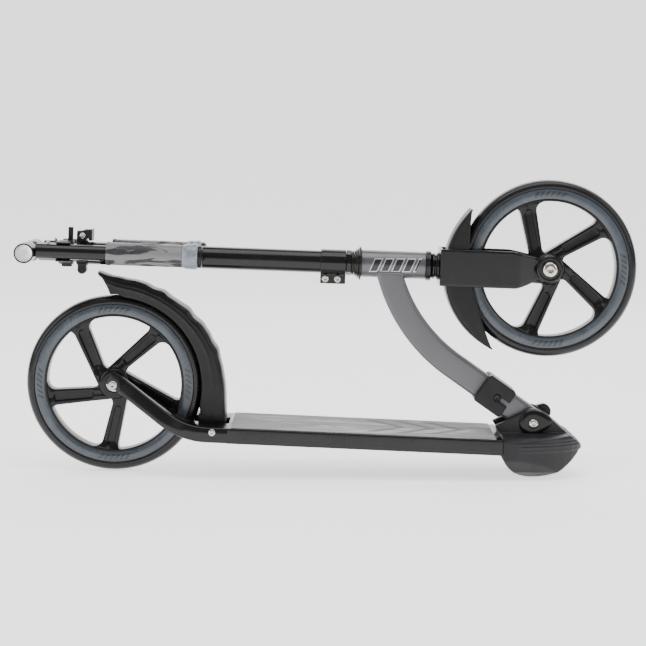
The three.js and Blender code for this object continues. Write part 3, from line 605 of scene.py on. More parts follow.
def plated_steel(name, color, rough):
    """Plated steel: bright, with turning lines and faint stains."""
    finish = Finish(name, color, rough, metallic=1.0)
    marks = finish.group("handling", Scale=60.0)
    finish.vary_roughness(marks.outputs["Smudge"], rough - 0.06, rough + 0.12)
    stretch = finish.mapped(scale=(1, 90, 1), kind="POINT")
    lines = node(finish.tree, "ShaderNodeTexNoise", Scale=60.0, Detail=2.0)
    finish.tree.links.new(stretch, lines.inputs["Vector"])
    finish.mix(product(finish.tree, marks.outputs["Smudge"], 0.4), (0.42, 0.38, 0.33))
    return finish.bump(lines.outputs["Fac"], 0.01).material


def tyre_rubber(name):
    """Cast polyurethane tyre: smooth, near black, with a soft sheen."""
    finish = Finish(name, (0.009, 0.009, 0.01), 0.3, coat=0.2, specular=0.25)
    return worn(finish, 0.22, 0.36, 500, 0.02, 0.08, (0.07, 0.068, 0.066)).material


def wheel_ring(name, centre):
    """The tyre's inner ring, blue-grey and lightly clouded. Four groups of slanted dashes
    are moulded round it in a darker tone."""
    finish = Finish(name, (0.042, 0.052, 0.065), 0.33, coat=0.25)
    worn(finish, 0.24, 0.4, 380, 0.02, 0.05, (0.2, 0.22, 0.24))
    tree = finish.tree
    cloud = node(tree, "ShaderNodeTexNoise", Scale=26.0, Detail=4.0, Distortion=0.8)
    tree.links.new(finish.where, cloud.inputs["Vector"])
    finish.mix(
        product(tree, band(tree, cloud.outputs["Fac"], 0.4, 0.75), 0.55), (0.075, 0.088, 0.105)
    )
    turned = finish.mapped(location=tuple(centre), rotation=(math.pi / 2, 0, 0))
    radial = node(tree, "ShaderNodeTexGradient", gradient_type="RADIAL")
    tree.links.new(turned, radial.inputs["Vector"])
    distance = node(tree, "ShaderNodeVectorMath", operation="LENGTH")
    split = tree.nodes.new("ShaderNodeSeparateXYZ")
    flat = tree.nodes.new("ShaderNodeCombineXYZ")
    tree.links.new(turned, split.inputs[0])
    tree.links.new(split.outputs["X"], flat.inputs["X"])
    tree.links.new(split.outputs["Y"], flat.inputs["Y"])
    tree.links.new(flat.outputs[0], distance.inputs[0])
    radius = distance.outputs["Value"]
    lean = product(tree, math_node(tree, "SUBTRACT", radius, 105 * MM), 1.1)
    angle = math_node(tree, "ADD", radial.outputs["Fac"], lean)
    quarter = math_node(tree, "FRACT", math_node(tree, "ADD", product(tree, angle, 4.0), 0.5), 0)
    dash = math_node(tree, "FRACT", product(tree, angle, 88.0), 0)
    mask = product(
        tree, band(tree, dash, 0.3, 0.36, 0.84, 0.9), band(tree, quarter, 0.37, 0.372, 0.63, 0.632)
    )
    mask = product(tree, mask, band(tree, radius, 0.1016, 0.1018, 0.1092, 0.1094))
    finish.mix(product(tree, mask, 0.85), (0.012, 0.015, 0.019))
    return finish.material


def deck_grit(name):
    """Grip tape: close mineral grit in light grey, with long pale streaks, and a few plain
    darker chevrons towards the front."""
    finish = Finish(name, (0.36, 0.343, 0.352), 0.85, specular=0.35)
    tree = finish.tree
    grit = node(tree, "ShaderNodeTexVoronoi", Scale=1300.0)
    tree.links.new(finish.where, grit.inputs["Vector"])
    streak = node(tree, "ShaderNodeTexNoise", Scale=7.0, Detail=4.0, Roughness=0.55, Distortion=1.2)
    tree.links.new(
        finish.mapped(scale=(1.2, 9, 1), rotation=(0, 0, 0.05), kind="POINT"),
        streak.inputs["Vector"]
    )
    finish.mix(band(tree, streak.outputs["Fac"], 0.48, 0.66), (0.66, 0.64, 0.655))
    finish.mix(
        product(tree, band(tree, streak.outputs["Fac"], 0.46, 0.32), 0.7), (0.25, 0.235, 0.245)
    )
    split = tree.nodes.new("ShaderNodeSeparateXYZ")
    tree.links.new(finish.where, split.inputs[0])
    fold_out = product(tree, math_node(tree, "ABSOLUTE", split.outputs["Y"], 0), 0.9)
    along = math_node(tree, "ADD", split.outputs["X"], fold_out)
    row = product(tree, math_node(tree, "SUBTRACT", along, 0.09), 1 / 0.042)
    bars = band(tree, math_node(tree, "FRACT", row, 0), 0.2, 0.24, 0.58, 0.62)
    bars = product(tree, bars, band(tree, row, 0, 0.01, 3.0, 3.01))
    half = math_node(tree, "ABSOLUTE", split.outputs["Y"], 0)
    bars = product(tree, bars, band(tree, half, 0.052, 0.05))
    finish.mix(product(tree, bars, 0.7), (0.14, 0.13, 0.14))
    finish.mix(
        product(tree, band(tree, grit.outputs["Distance"], 0.35, 0.7), 0.45), (0.2, 0.19, 0.195)
    )
    return finish.bump(grit.outputs["Distance"], 0.22).material


def smoky_rubber(name):
    """The grips' mottled sleeve: light grey with long dark smears that run aslant."""
    finish = Finish(name, (0.185, 0.185, 0.19), 0.42, specular=0.35)
    tree = finish.tree
    aslant = finish.mapped(rotation=(0, math.radians(-28), 0.1), scale=(12, 26, 52), kind="POINT")
    smear = node(tree, "ShaderNodeTexNoise", Scale=1.15, Detail=3.0, Roughness=0.5, Distortion=1.3)
    tree.links.new(aslant, smear.inputs["Vector"])
    finish.mix(band(tree, smear.outputs["Fac"], 0.49, 0.545), (0.03, 0.03, 0.034))
    wisps = node(tree, "ShaderNodeTexNoise", Scale=4.0, Detail=5.0, Roughness=0.6, Distortion=1.0)
    tree.links.new(aslant, wisps.inputs["Vector"])
    finish.mix(product(tree, band(tree, wisps.outputs["Fac"], 0.55, 0.7), 0.4), (0.27, 0.27, 0.28))
    grain = finish.group("grain", Scale=900.0)
    marks = finish.group("handling", Scale=30.0)
    finish.vary_roughness(marks.outputs["Smudge"], 0.32, 0.55)
    return finish.bump(grain.outputs["Height"], 0.05).material


def clouded_flange(name):
    """The grips' soft clear-grey flange, milky, with its light let through."""
    finish = Finish(name, (0.24, 0.27, 0.31), 0.3, coat=0.2)
    finish.shader.inputs["Transmission Weight"].default_value = 0.25
    cloud = node(finish.tree, "ShaderNodeTexNoise", Scale=70.0, Detail=4.0, Distortion=1.0)
    finish.tree.links.new(finish.where, cloud.inputs["Vector"])
    finish.mix(band(finish.tree, cloud.outputs["Fac"], 0.4, 0.7), (0.4, 0.44, 0.48))
    grain = finish.group("grain", Scale=500.0)
    marks = finish.group("handling", Scale=40.0)
    finish.vary_roughness(marks.outputs["Smudge"], 0.22, 0.4)
    return finish.bump(grain.outputs["Height"], 0.03).material


def make_materials(colors):
    """Every finish of the scooter, by the name that the pieces use."""
    black = tuple(colors.paint)
    plastic = tuple(colors.plastic)
    MATERIALS.update(
        paint=gloss_paint("gloss black paint", black),
        plastic=moulded_plastic("satin black plastic", plastic, 0.28, 0.42, 0.03),
        rim=moulded_plastic("glossy moulded rim", plastic, 0.16, 0.26, 0.012),
        guard=moulded_plastic("mudguard plastic", plastic, 0.26, 0.4, 0.05),
        cast=cast_paint("cast neck paint", tuple(colors.casting)),
        grey=metallic_paint("grey metallic paint", tuple(colors.stem)),
        head=head_tube_paint("head tube paint", tuple(colors.stem)),
        steel=plated_steel("plated steel", (0.62, 0.58, 0.52), 0.24),
        bare=plated_steel("bare tube wall", (0.72, 0.71, 0.7), 0.36),
        tyre=tyre_rubber("tyre polyurethane"),
        rear_ring=wheel_ring("rear wheel ring", REAR_AXLE),
        front_ring=wheel_ring("front wheel ring", FRONT_AXLE),
        grit=deck_grit("deck grip tape"),
        smoky=smoky_rubber("smoky grip sleeve"),
        flange=clouded_flange("clouded grip flange"),
    )


# ---------------------------------------------------------------- settings
class ScooterColors(bpy.types.PropertyGroup):
    """Colours that a user would change."""

    paint: bpy.props.FloatVectorProperty(
        name="Paint", description="Gloss paint on the column, fork and deck", subtype="COLOR",
        size=3, min=0, max=1, default=(0.006, 0.006, 0.0065),
    )
    plastic: bpy.props.FloatVectorProperty(
        name="Plastic", description="Rims, mudguards and clamps", subtype="COLOR",
        size=3, min=0, max=1, default=(0.007, 0.007, 0.0075),
    )
    casting: bpy.props.FloatVectorProperty(
        name="Casting", description="Neck casting at the front of the deck", subtype="COLOR",
        size=3, min=0, max=1, default=(0.012, 0.0115, 0.013),
    )
    stem: bpy.props.FloatVectorProperty(
        name="Stem", description="Metallic paint on the stem and head tube", subtype="COLOR",
        size=3, min=0, max=1, default=(0.115, 0.112, 0.122),
    )


class ScooterSizes(bpy.types.PropertyGroup):
    """Sizes of details that the frame leaves open."""

    spoke_groove: bpy.props.FloatProperty(
        name="Spoke groove", description="Depth of the groove along each spoke (mm)",
        default=3.4, min=0, max=6,
    )
    spoke_fillet: bpy.props.FloatProperty(
        name="Spoke fillet", description="Radius where a spoke meets the rim (mm)",
        default=11, min=2, max=16,
    )
    guard_ripple: bpy.props.FloatProperty(
        name="Mudguard ripple", description="Height of the waves on the rear mudguard's crown (mm)",
        default=0.9, min=0, max=3,
    )
    weld_bead: bpy.props.FloatProperty(
        name="Weld bead", description="Radius of the weld between stem and head tube (mm)",
        default=2.0, min=0.5, max=4,
    )
    camera_distance: bpy.props.FloatProperty(
        name="Camera distance", description="From the camera to the scooter's middle plane",
        default=2.585, min=1, max=10, unit="LENGTH",
    )


# ---------------------------------------------------------------- screws
def screw_head(shell, centre, radius, height, socket, axis=-ACROSS, sides=72, lobes=6):
    """A button head with a socket: outside it is a dome, r = R cos t and h = H sin t, and in
    its middle a hexagonal hole, whose wall lies at a / cos(angle within a sixth)."""
    angle = np.linspace(0, 2 * np.pi, sides, endpoint=False)
    within = (angle % (2 * np.pi / lobes)) - np.pi / lobes
    wall = socket * np.cos(np.pi / lobes) / np.cos(within)
    t = np.linspace(0, np.pi / 2 * 0.78, 9)
    dome_r = radius * np.cos(t) ** 0.6
    dome_h = height * np.sin(t) / np.sin(t[-1])
    rows = [(np.zeros(sides), -0.2), (wall * 0.2, 0.05), (wall * 0.96, 0.1)]
    rows += [(wall, height * 0.15), (wall * 1.0, height * 0.97), (wall * 1.12, height)]
    rows += [(np.full(sides, r), h) for r, h in zip(dome_r[::-1], dome_h[::-1])]
    rows += [(np.full(sides, radius * 0.97), -0.25), (np.zeros(sides), -0.25)]
    first = np.array([1.0, 0, 0]) if abs(axis[1]) > 0.5 else ACROSS
    second = np.cross(axis, first)
    ring = np.cos(angle)[:, None] * first + np.sin(angle)[:, None] * second
    points = np.stack(
        [
            np.asarray(centre) + (np.asarray(r)[:, None] * ring + h * np.asarray(axis)) * MM for r,
            h in rows
        ]
    )
    shell.grid(points, wrap_columns=True)
    return shell


def hex_nut(shell, centre, across, low, high, bore):
    """A nut: a hexagon whose corners are turned off to a cone at both ends."""
    sides = 48
    angle = np.linspace(0, 2 * np.pi, sides, endpoint=False)
    within = (angle % (np.pi / 3)) - np.pi / 6
    flat = across / np.cos(within) * np.cos(np.pi / 6)
    turned = np.minimum(flat, across * 0.93)
    rows = [
        (bore, low), (turned, low), (flat, low + 0.9), (flat, high - 0.9), (turned, high),
        (bore, high)
    ]
    ring = np.stack([np.cos(angle), np.zeros(sides), np.sin(angle)], axis=1)
    points = np.stack(
        [centre + (np.broadcast_to(r, sides)[:, None] * ring + h * ACROSS) * MM for r, h in rows]
    )
    return shell.grid(points, wrap_rows=True, wrap_columns=True)


# ---------------------------------------------------------------- wheels
RIM_RADIUS = 95.0
SPOKE_OFFSET = 13.5


def spoke_grid(direction, centre, sizes):
    """One swirled spoke. Its middle line passes 13.5 mm from the axle, and s runs out along
    it. Half its width is 8.5 + 3.5 s / 98. It flares as a quarter circle does, at the rim on
    both sides and at the hub on its inner side only.
    Both faces carry a groove with a round outer end, between two raised ridges."""
    s = np.concatenate([
        np.linspace(0, 34, 24, endpoint=False),
        np.linspace(34, 78, 22, endpoint=False),
        np.linspace(78, 96.5, 24),
    ])
    fillet = sizes.spoke_fillet
    end = np.sqrt(RIM_RADIUS**2 - SPOKE_OFFSET**2)
    rise = np.clip(s - (end - fillet), 0, fillet)
    flare = fillet - np.sqrt(fillet**2 - rise**2)
    hub_rise = np.clip(30 - s, 0, 7.9)
    hub_flare = 8 - np.sqrt(64 - hub_rise**2)
    half = 8.5 + 3.5 * s / 98 + flare
    groove_end, groove_start = 88.0, 30.0
    open_out = np.sqrt(np.clip(1 - (np.clip(s - (groove_end - 5), 0, 5) / 5) ** 2, 0, 1))
    open_in = np.sqrt(np.clip(1 - (np.clip((groove_start + 5) - s, 0, 5) / 5) ** 2, 0, 1))
    groove = (4.4 + 0.8 * s / 90) * open_out * open_in + 0.01
    sunk = sizes.spoke_groove * smooth_step(np.minimum(groove_end - s, s - groove_start), 0, 2.5)
    depth = 10.0 + 1.2 * smooth_step(s, 80, 94) + 1.5 * smooth_step(30 - s, 0, 12)
    a = np.stack(
        [
            -half, -half, -half + 0.5, -half + 1.8, -(groove + 1.1), -(groove + 0.3), -groove + 0.5,
            0 * s
        ],
        1
    )
    d = np.stack(
        [
            0 * s, depth - 2, depth - 0.6, depth, depth, depth - 0.35, depth - sunk,
            depth - sunk * 1.05
        ],
        1
    )
    a = np.concatenate([a, -a[:, -2::-1]], 1)
    a[:, :2] -= hub_flare[:, None]
    d = np.concatenate([d, d[:, -2::-1]], 1)
    a = np.concatenate([a, a[:, -2:0:-1]], 1)
    d = np.concatenate([d, -d[:, -2:0:-1]], 1)
    out = np.array([np.cos(direction), np.sin(direction)])
    side = np.array([-np.sin(direction), np.cos(direction)])
    flat = s[:, None, None] * out + (a + SPOKE_OFFSET)[..., None] * side
    points = np.stack([flat[..., 0], -d, flat[..., 1]], axis=-1)
    return points * MM + centre


def build_wheel(end, centre, first_spoke, sizes):
    """A wheel: a turned rim and hub joined by five swirled spokes, the ring that shows
    inside the tyre on both sides, the tyre, and the bearings' shields."""
    body = f"{end}_wheel"
    shell = Shell()
    half = [
        (95.0, 11.6), (95.4, 12.9), (96.2, 13.5), (97.6, 13.5), (98.2, 13.1), (98.3, 12.0),
        (103.6, 11.7),
    ]
    shell.turned([*half, *[(r, -y) for r, y in reversed(half)]], centre, sides=160)
    hub = [
        (11.4, 14.6), (12.4, 15.7), (16.5, 15.9), (19.5, 15.2), (21.5, 13.4), (22.6, 11.2),
        (22.8, 8)
    ]
    shell.turned([*hub, *[(r, -y) for r, y in reversed(hub)]], centre, sides=96)
    for k in range(5):
        shell.grid(
            spoke_grid(first_spoke + k * 2 * np.pi / 5, centre, sizes), wrap_columns=True, caps=True
        )
    shell.piece(f"{end}_wheel_rim", body, "blackPlastic", "rim", (f"{end}_rim",), sharp=40)

    ring = Shell()
    for side in (-1, 1):
        outline = [
            (98.4, 11.8), (98.5, 13.0), (99.4, 13.7), (105, 14.1), (110.6, 13.9), (112.0, 13.4),
            (112.4, 11.8)
        ]
        ring.turned([(r, y * side) for r, y in outline], centre, sides=160)
    ring.piece(f"{end}_wheel_ring", body, "tyreBlack", f"{end}_ring")

    t = np.linspace(0, np.pi, 33)
    crown = np.stack([114.2 + 10.7 * np.sin(t) ** 0.72, 14.6 * np.cos(t)], axis=1)
    seam = np.exp(-((t - np.pi / 2) / 0.02) ** 2) * 0.1
    crown[:, 0] += seam
    bead = [
        (113.4, -14.3), (112.7, -13.6), (112.6, -11.6), (104.2, -11.4), (104.2, 11.4),
        (112.6, 11.6), (112.7, 13.6), (113.4, 14.3)
    ]
    tyre = Shell().turned(np.concatenate([crown, bead]), centre, sides=192)
    tyre.piece(f"{end}_wheel_tyre", body, "tyreBlack", "tyre", (f"{end}_tyre",), sharp=60)

    dress("steel", f"{end}_bearing_spacer")
    for side, node_side in ((-1, "near"), (1, "far")):
        shield = [
            (4.3, 8.1), (11, 8.1), (11, 14.8), (10.4, 15), (9.2, 15), (8.6, 14.3), (6.6, 14.3),
            (6, 15), (4.6, 15), (4.3, 14.6)
        ]
        Shell().turned([(r, y * side) for r, y in shield], centre, sides=64).piece(
            f"{end}_{node_side}_ball_bearing", body, "bareSteel", "steel",
            (f"{end}_bearing_{node_side}",)
        )


# ---------------------------------------------------------------- deck
DECK_FALL = math.tan(math.radians(2.1))


def deck_line(x):
    """Height of the deck's middle line at x, in the drawing."""
    return DECK_BEND[1] - (x - DECK_BEND[0]) * DECK_FALL


def build_deck():
    """The deck: a channel folded from one plate, which runs back into two arms that taper
    and bend up to the rear axle. Its edges are round and polished by their gloss paint."""
    shell = Shell()
    end = (
        DECK_BEND[0] - ARM_REACH * math.cos(ARM_SLOPE),
        DECK_BEND[1] + ARM_REACH * math.sin(ARM_SLOPE),
    )
    bx, bz, bh = bent_path((-137.04, deck_line(-137.04)), DECK_BEND, end, 120, turn_steps=30)
    bh = bh - np.pi
    w, h = DECK_HALF_WIDTH, DECK_HALF_THICKNESS
    channel = rounded(
        [
            (-w, -h), (-w, h), (w, h), (w, -h), (68, -h), (68, 6.75),
            (-68, 6.75), (-68, -h)
        ],
        np.array([0.8, 2.6, 2.6, 0.8, 0.8, 2, 2, 0.8]),
    )
    x_line = np.linspace(DECK_FRONT_X, CHANNEL_END_X, 50)
    shell.swept((x_line, deck_line(x_line), np.full(50, -math.atan(DECK_FALL))), channel)
    cross = [(-68.5, -10.6), (-68.5, 8), (68.5, 8), (68.5, -10.6)]
    for a, b in ((DECK_FRONT_X, 238), (-128, -136.9)):
        x_rib = np.array([a, b], float)
        shell.swept((x_rib, deck_line(x_rib), np.full(2, -math.atan(DECK_FALL))), cross)
    outer = np.interp(bx, [-290, -198, -178, -120], [31, 69, DECK_HALF_WIDTH, DECK_HALF_WIDTH])
    inner = 20 + 6 * smooth_step(bx, -192, -186)
    for side in (-1, 1):
        lip = 2.6
        shape = []
        for fraction, height, inset, drop in (
            (0, -1, 0, lip), (0, 1, 0, lip), (0, 1, 0.76, 0.76), (0, 1, lip, 0),
            (1, 1, lip, 0), (1, 1, 0.76, 0.76), (1, 1, 0, lip), (1, -1, 0, lip),
            (1, -1, 0.76, 0.76), (1, -1, lip, 0), (0, -1, lip, 0), (0, -1, 0.76, 0.76),
        ):
            across = inner + inset if fraction == 0 else outer - inset
            shape.append(
                np.stack([side * across, height * (DECK_HALF_THICKNESS - drop) + 0 * across], 1)
            )
        shell.swept((bx, bz, bh), np.stack(shape, axis=1))
    floor_x = np.array([CHANNEL_END_X, -171.0])
    floor = [(-27, -10.6), (-27, -4.2), (27, -4.2), (27, -10.6)]
    shell.swept((floor_x, deck_line(floor_x), np.full(2, -math.atan(DECK_FALL))), floor)
    shell.piece("deck_and_arms", "deck", "blackAlloy", "paint", ("deck",), sharp=50)
    dress("grit", "grip_tape")


# ---------------------------------------------------------------- mudguards
def build_rear_mudguard(sizes):
    """The rear mudguard: round the wheel by angle a, its crown stands at the radius given
    for each angle and its skirts reach in to the tyre. Low waves cross the crown, a crease
    runs inside each edge, and a wall of even thickness is added inwards. The tip is cut
    aslant."""
    knots = np.radians([-27, -23, -9, 5.5, 21, 38.4, 59, 78.8, 91.1, 97.9])
    reach = np.array([170, 171, 160.3, 155.7, 154.3, 150.5, 148, 149.3, 151.5, 160.3])
    a = np.linspace(np.radians(-25), np.radians(97.9), 150)
    fine = np.interp(a, knots, reach)
    kernel = np.hanning(15) / np.hanning(15).sum()
    padded = np.concatenate(
        [np.full(7, fine[0]), fine, fine[-1] + (fine[-1] - fine[-2]) * np.arange(1, 8)]
    )
    outer = np.convolve(padded, kernel, "valid")
    ripple = sizes.guard_ripple * (
        np.sin(a * 25) + 0.5 * np.sin(a * 41 + 1)
    ) * smooth_step(a, 0.1, 0.4) * smooth_step(1.6 - a, 0, 0.3)
    inner = 124.6 + 7 * smooth_step(
        np.radians(-12) - a, 0, np.radians(10)
    ) + 3 * smooth_step(a, 1.4, 1.6)
    v = np.linspace(0, 1, 41)
    side = np.sign(v - 0.5)
    from_edge = 1 - np.abs(2 * v - 1)
    skirt = np.clip(from_edge / 0.5, 0, 1)
    over = np.clip((from_edge - 0.5) / 0.5, 0, 1)
    across = GUARD_HALF_WIDTH * np.cos(over * np.pi / 2) ** 0.45 * (1 - 0.03 * (1 - skirt))
    top = np.sin(over * np.pi / 2) ** 0.9
    crease = np.exp(-(((skirt - 0.72) / 0.07) ** 2)) * (over == 0)
    edge = outer[:, None] - 9 + 0 * v
    r = inner[:, None] + (edge - inner[:, None]) * skirt + 9 * top + ripple[:, None] * smooth_step(
        top + 0.5 * skirt, 0.3, 1
    )
    r = np.where(r < inner[:, None], inner[:, None], r)
    y = side * (across + 1.1 * crease * np.ones_like(v))
    low = 1 - (r - inner[:, None]) / (outer - inner)[:, None]
    slant = np.radians(6.2) * np.clip(low, 0, 1) ** 0.8
    turn = a[:, None] - slant * smooth_step(a, 1.4, 1.7)[:, None]
    points = np.stack([r * np.cos(turn), np.broadcast_to(y, r.shape), r * np.sin(turn)], -1)
    shell = Shell().grid(points * MM + REAR_AXLE)
    piece = shell.piece(
        "rear_mudguard_shell", "brake", "blackPlastic", "guard", ("rear_mudguard",), sharp=60
    )
    thicken(piece, 2.6, REAR_AXLE)
    x = np.array([-142.4, -179.5])
    foot = rounded([(-24.5, 58.7), (-24.5, 84), (24.5, 84), (24.5, 58.7)], 2)
    block = Shell().swept((x, 0 * x, 0 * x), foot)
    block.piece("rear_mudguard_foot", "brake", "blackPlastic", "guard")
    softened("brake_pad", "brake_pad_block", "brake", "plastic", 1.0, 4)


def thicken(piece, thickness, centre):
    """Gives an open sheet a wall of even thickness on the side that faces the centre."""
    mesh = piece.data
    normals = np.empty(len(mesh.polygons) * 3)
    middles = np.empty(len(mesh.polygons) * 3)
    mesh.polygons.foreach_get("normal", normals)
    mesh.polygons.foreach_get("center", middles)
    outward = np.einsum("ij,ij->", normals.reshape(-1, 3), middles.reshape(-1, 3) - centre)
    if outward < 0:
        mesh.flip_normals()
    wall = piece.modifiers.new("wall", "SOLIDIFY")
    wall.thickness = thickness * MM
    wall.offset = -1


def build_front_mudguard():
    """The front mudguard: a crescent. Its crown follows an arc of 120.6 mm, its skirts end
    on a parabola through the same two tips, and the two meet at each tip."""
    middle = np.array([28.2, -5.6])
    arc_ends = np.radians([44.0, 157.0])
    u = np.linspace(0.004, 0.996, 90)
    angle = np.radians(44 + 113 * u)
    crown = middle + GUARD_ARC * np.stack([np.sin(angle), np.cos(angle)], 1)
    ends = middle + GUARD_ARC * np.stack([np.sin(arc_ends), np.cos(arc_ends)], 1)
    control = np.array([122.0, -14.0])
    t = u[:, None]
    skirt_line = (1 - t) ** 2 * ends[0] + 2 * t * (1 - t) * control + t**2 * ends[1]
    v = np.linspace(0, 1, 37)
    from_edge = 1 - np.abs(2 * v - 1)
    down = np.clip(from_edge / 0.45, 0, 1)
    over = np.clip((from_edge - 0.45) / 0.55, 0, 1)
    across = np.sign(v - 0.5) * GUARD_HALF_WIDTH * np.cos(over * np.pi / 2) ** 0.5
    gap = np.linalg.norm(crown - skirt_line, axis=1)
    shoulder = np.clip(gap * 0.22, 0.2, 6)
    outward = (crown - middle) / GUARD_ARC
    base = crown - outward * shoulder[:, None]
    part = down[None, :, None]
    flat = skirt_line[:, None] * (1 - part) + base[:, None] * part
    rise = np.sin(over * np.pi / 2)
    flat = flat + outward[:, None] * (shoulder[:, None] * rise)[..., None]
    points = np.stack([flat[..., 1], np.broadcast_to(across, flat.shape[:2]), flat[..., 0]], -1)
    points = points @ COLUMN_AXES * MM + FRONT_AXLE
    piece = Shell().grid(points).piece(
        "front_mudguard_shell", "steering", "blackPlastic", "guard", ("front_mudguard",), sharp=60
    )
    thicken(piece, 2.4, FRONT_AXLE)


# ---------------------------------------------------------------- stem and head tube
def build_stem(sizes):
    """The stem: a flat-sided tube of 36.5 by 32 mm with 6 mm corners, swept along its bend,
    with a round knuckle at the fold pivot, and a rippled weld bead at the head tube."""
    x, z, heading = bent_path((86.5, 289), (114.7, 199.1), (292, 75), 231, turn_steps=40)
    s = np.linspace(0.02, 1, 16)
    x = np.concatenate([x, 292 + 18.2 * s * math.cos(heading[-1])])
    z = np.concatenate([z, 75 + 18.2 * s * math.sin(heading[-1])])
    heading = np.concatenate([heading, np.full(16, heading[-1])])
    w, h = STEM_HALF_WIDTH, STEM_HALF_DEPTH
    unit = rounded([(-w, -h), (w, -h), (w, h), (-w, h)], 5.5, 8)
    taper = np.ones(len(x))
    taper[-16:] = np.sqrt(np.clip(1 - s**2, 0.0004, 1))
    section = np.broadcast_to(unit, (len(x), *unit.shape)).copy()
    section[..., 1] *= taper[:, None]
    Shell().swept((x, z, heading), section).piece(
        "stem_tube", "stem", "greyMetal", "grey", ("stem",), sharp=50
    )

    h = 18.5  # the weld stands a little outside the tube
    ring = rounded([(-w, -h), (w, -h), (w, h), (-w, h)], 5.5, 12)
    turn = np.cumsum(np.linalg.norm(np.diff(ring, axis=0, append=ring[:1]), axis=1))
    y = ring[:, 0]
    along = 70.6 + ring[:, 1] * 1.04
    drop = -np.sqrt(np.clip(19.3**2 - y**2, 0, None))
    middle = np.stack([drop, y, along], 1)
    out = np.stack([-np.ones_like(y) * 0.2, y / w, ring[:, 1] / h], 1)
    out /= np.linalg.norm(out, axis=1, keepdims=True)
    down = np.stack([-np.ones_like(y), 0 * y, 0 * y], 1)
    bead = sizes.weld_bead * (1 + 0.12 * np.sin(turn * 2.6))
    a = np.linspace(0, 2 * np.pi, 14, endpoint=False)
    points = middle[:, None] + bead[:, None, None] * (
        np.cos(a)[None, :, None] * out[:, None] + np.sin(a)[None, :, None] * down[:, None]
    )
    weld = Shell().grid(from_column(points), wrap_rows=True, wrap_columns=True)
    weld.piece("stem_weld", "stem", "greyMetal", "grey")


def column_turned(name, profile, body, slot, finish, nodes, off=0.0, across=0.0, sides=72):
    """A turned piece on the column, or beside it: its profile is radius and place along."""
    centre = from_column((off, across, 0))
    Shell().turned(profile, centre, UP_COLUMN, sides).piece(name, body, slot, finish, nodes)


def build_headset():
    """Head tube, cups, race, washer and locknut, all turned about the steering axis."""
    column_turned("head_tube_shell", tube_profile(16.4, HEAD_TUBE_RADIUS, 19.5, 109.6, 0.5),
                  "stem", "greyMetal", "head", ("head_tube",))
    lower = [(STEERER_BORE, 11.3), (19.6, 11.3), (21.2, 12.6), (21.2, 15), (20.7, 15.5),
             (21.2, 16), (21.2, 18),
             (19.8, 19.2), (16, 19.2), (16, 27), (STEERER_BORE, 27)]
    column_turned(
        "lower_cup", rounded(lower, 0.5), "stem", "blackPaint", "paint", ("headset_lower_cup",)
    )
    upper = [(STEERER_BORE, 102), (16, 102), (16, 109.9), (23.4, 109.9), (24, 110.6),
             (24, 112.2), (20.6, 114.2),
             (20.6, 116), (18.4, 117), (18.4, 119.4), (STEERER_BORE, 119.7)]
    column_turned(
        "upper_cup", rounded(upper, 0.5), "stem", "blackPaint", "paint", ("headset_upper_cup",)
    )
    race = [
        (STEERER_BORE, 0.3), (19.5, 0.3), (19.5, 3), (16.5, 4.4), (16.5, 6), (18.2, 7), (18.2, 9.2),
        (16, 11), (STEERER_BORE, 11)
    ]
    column_turned(
        "crown_race_ring", rounded(race, 0.4), "steering", "blackPaint", "paint", ("crown_race",)
    )
    column_turned("headset_washer_ring", tube_profile(STEERER_BORE, 17, 120, 123.2, 0.5),
                  "steering", "bareSteel", "plastic", ("headset_washer",))
    nut = Shell()
    sides = 64
    angle = np.linspace(0, 2 * np.pi, sides, endpoint=False)
    within = (angle % (np.pi / 4)) - np.pi / 8
    flat = 17.6 * np.cos(np.pi / 8) / np.cos(within)
    rows = [
        (STEERER_BORE, 123.5), (flat - 0.7, 123.5), (flat, 124.3), (flat, 130.2), (flat - 0.7, 131),
        (STEERER_BORE, 131)
    ]
    points = np.stack([
        np.stack([r * np.cos(angle), r * np.sin(angle), np.full(sides, h)], 1) for r, h in rows
    ])
    nut.grid(from_column(points), wrap_rows=True, wrap_columns=True)
    nut.piece("locknut", "steering", "blackPaint", "paint", ("headset_locknut",))


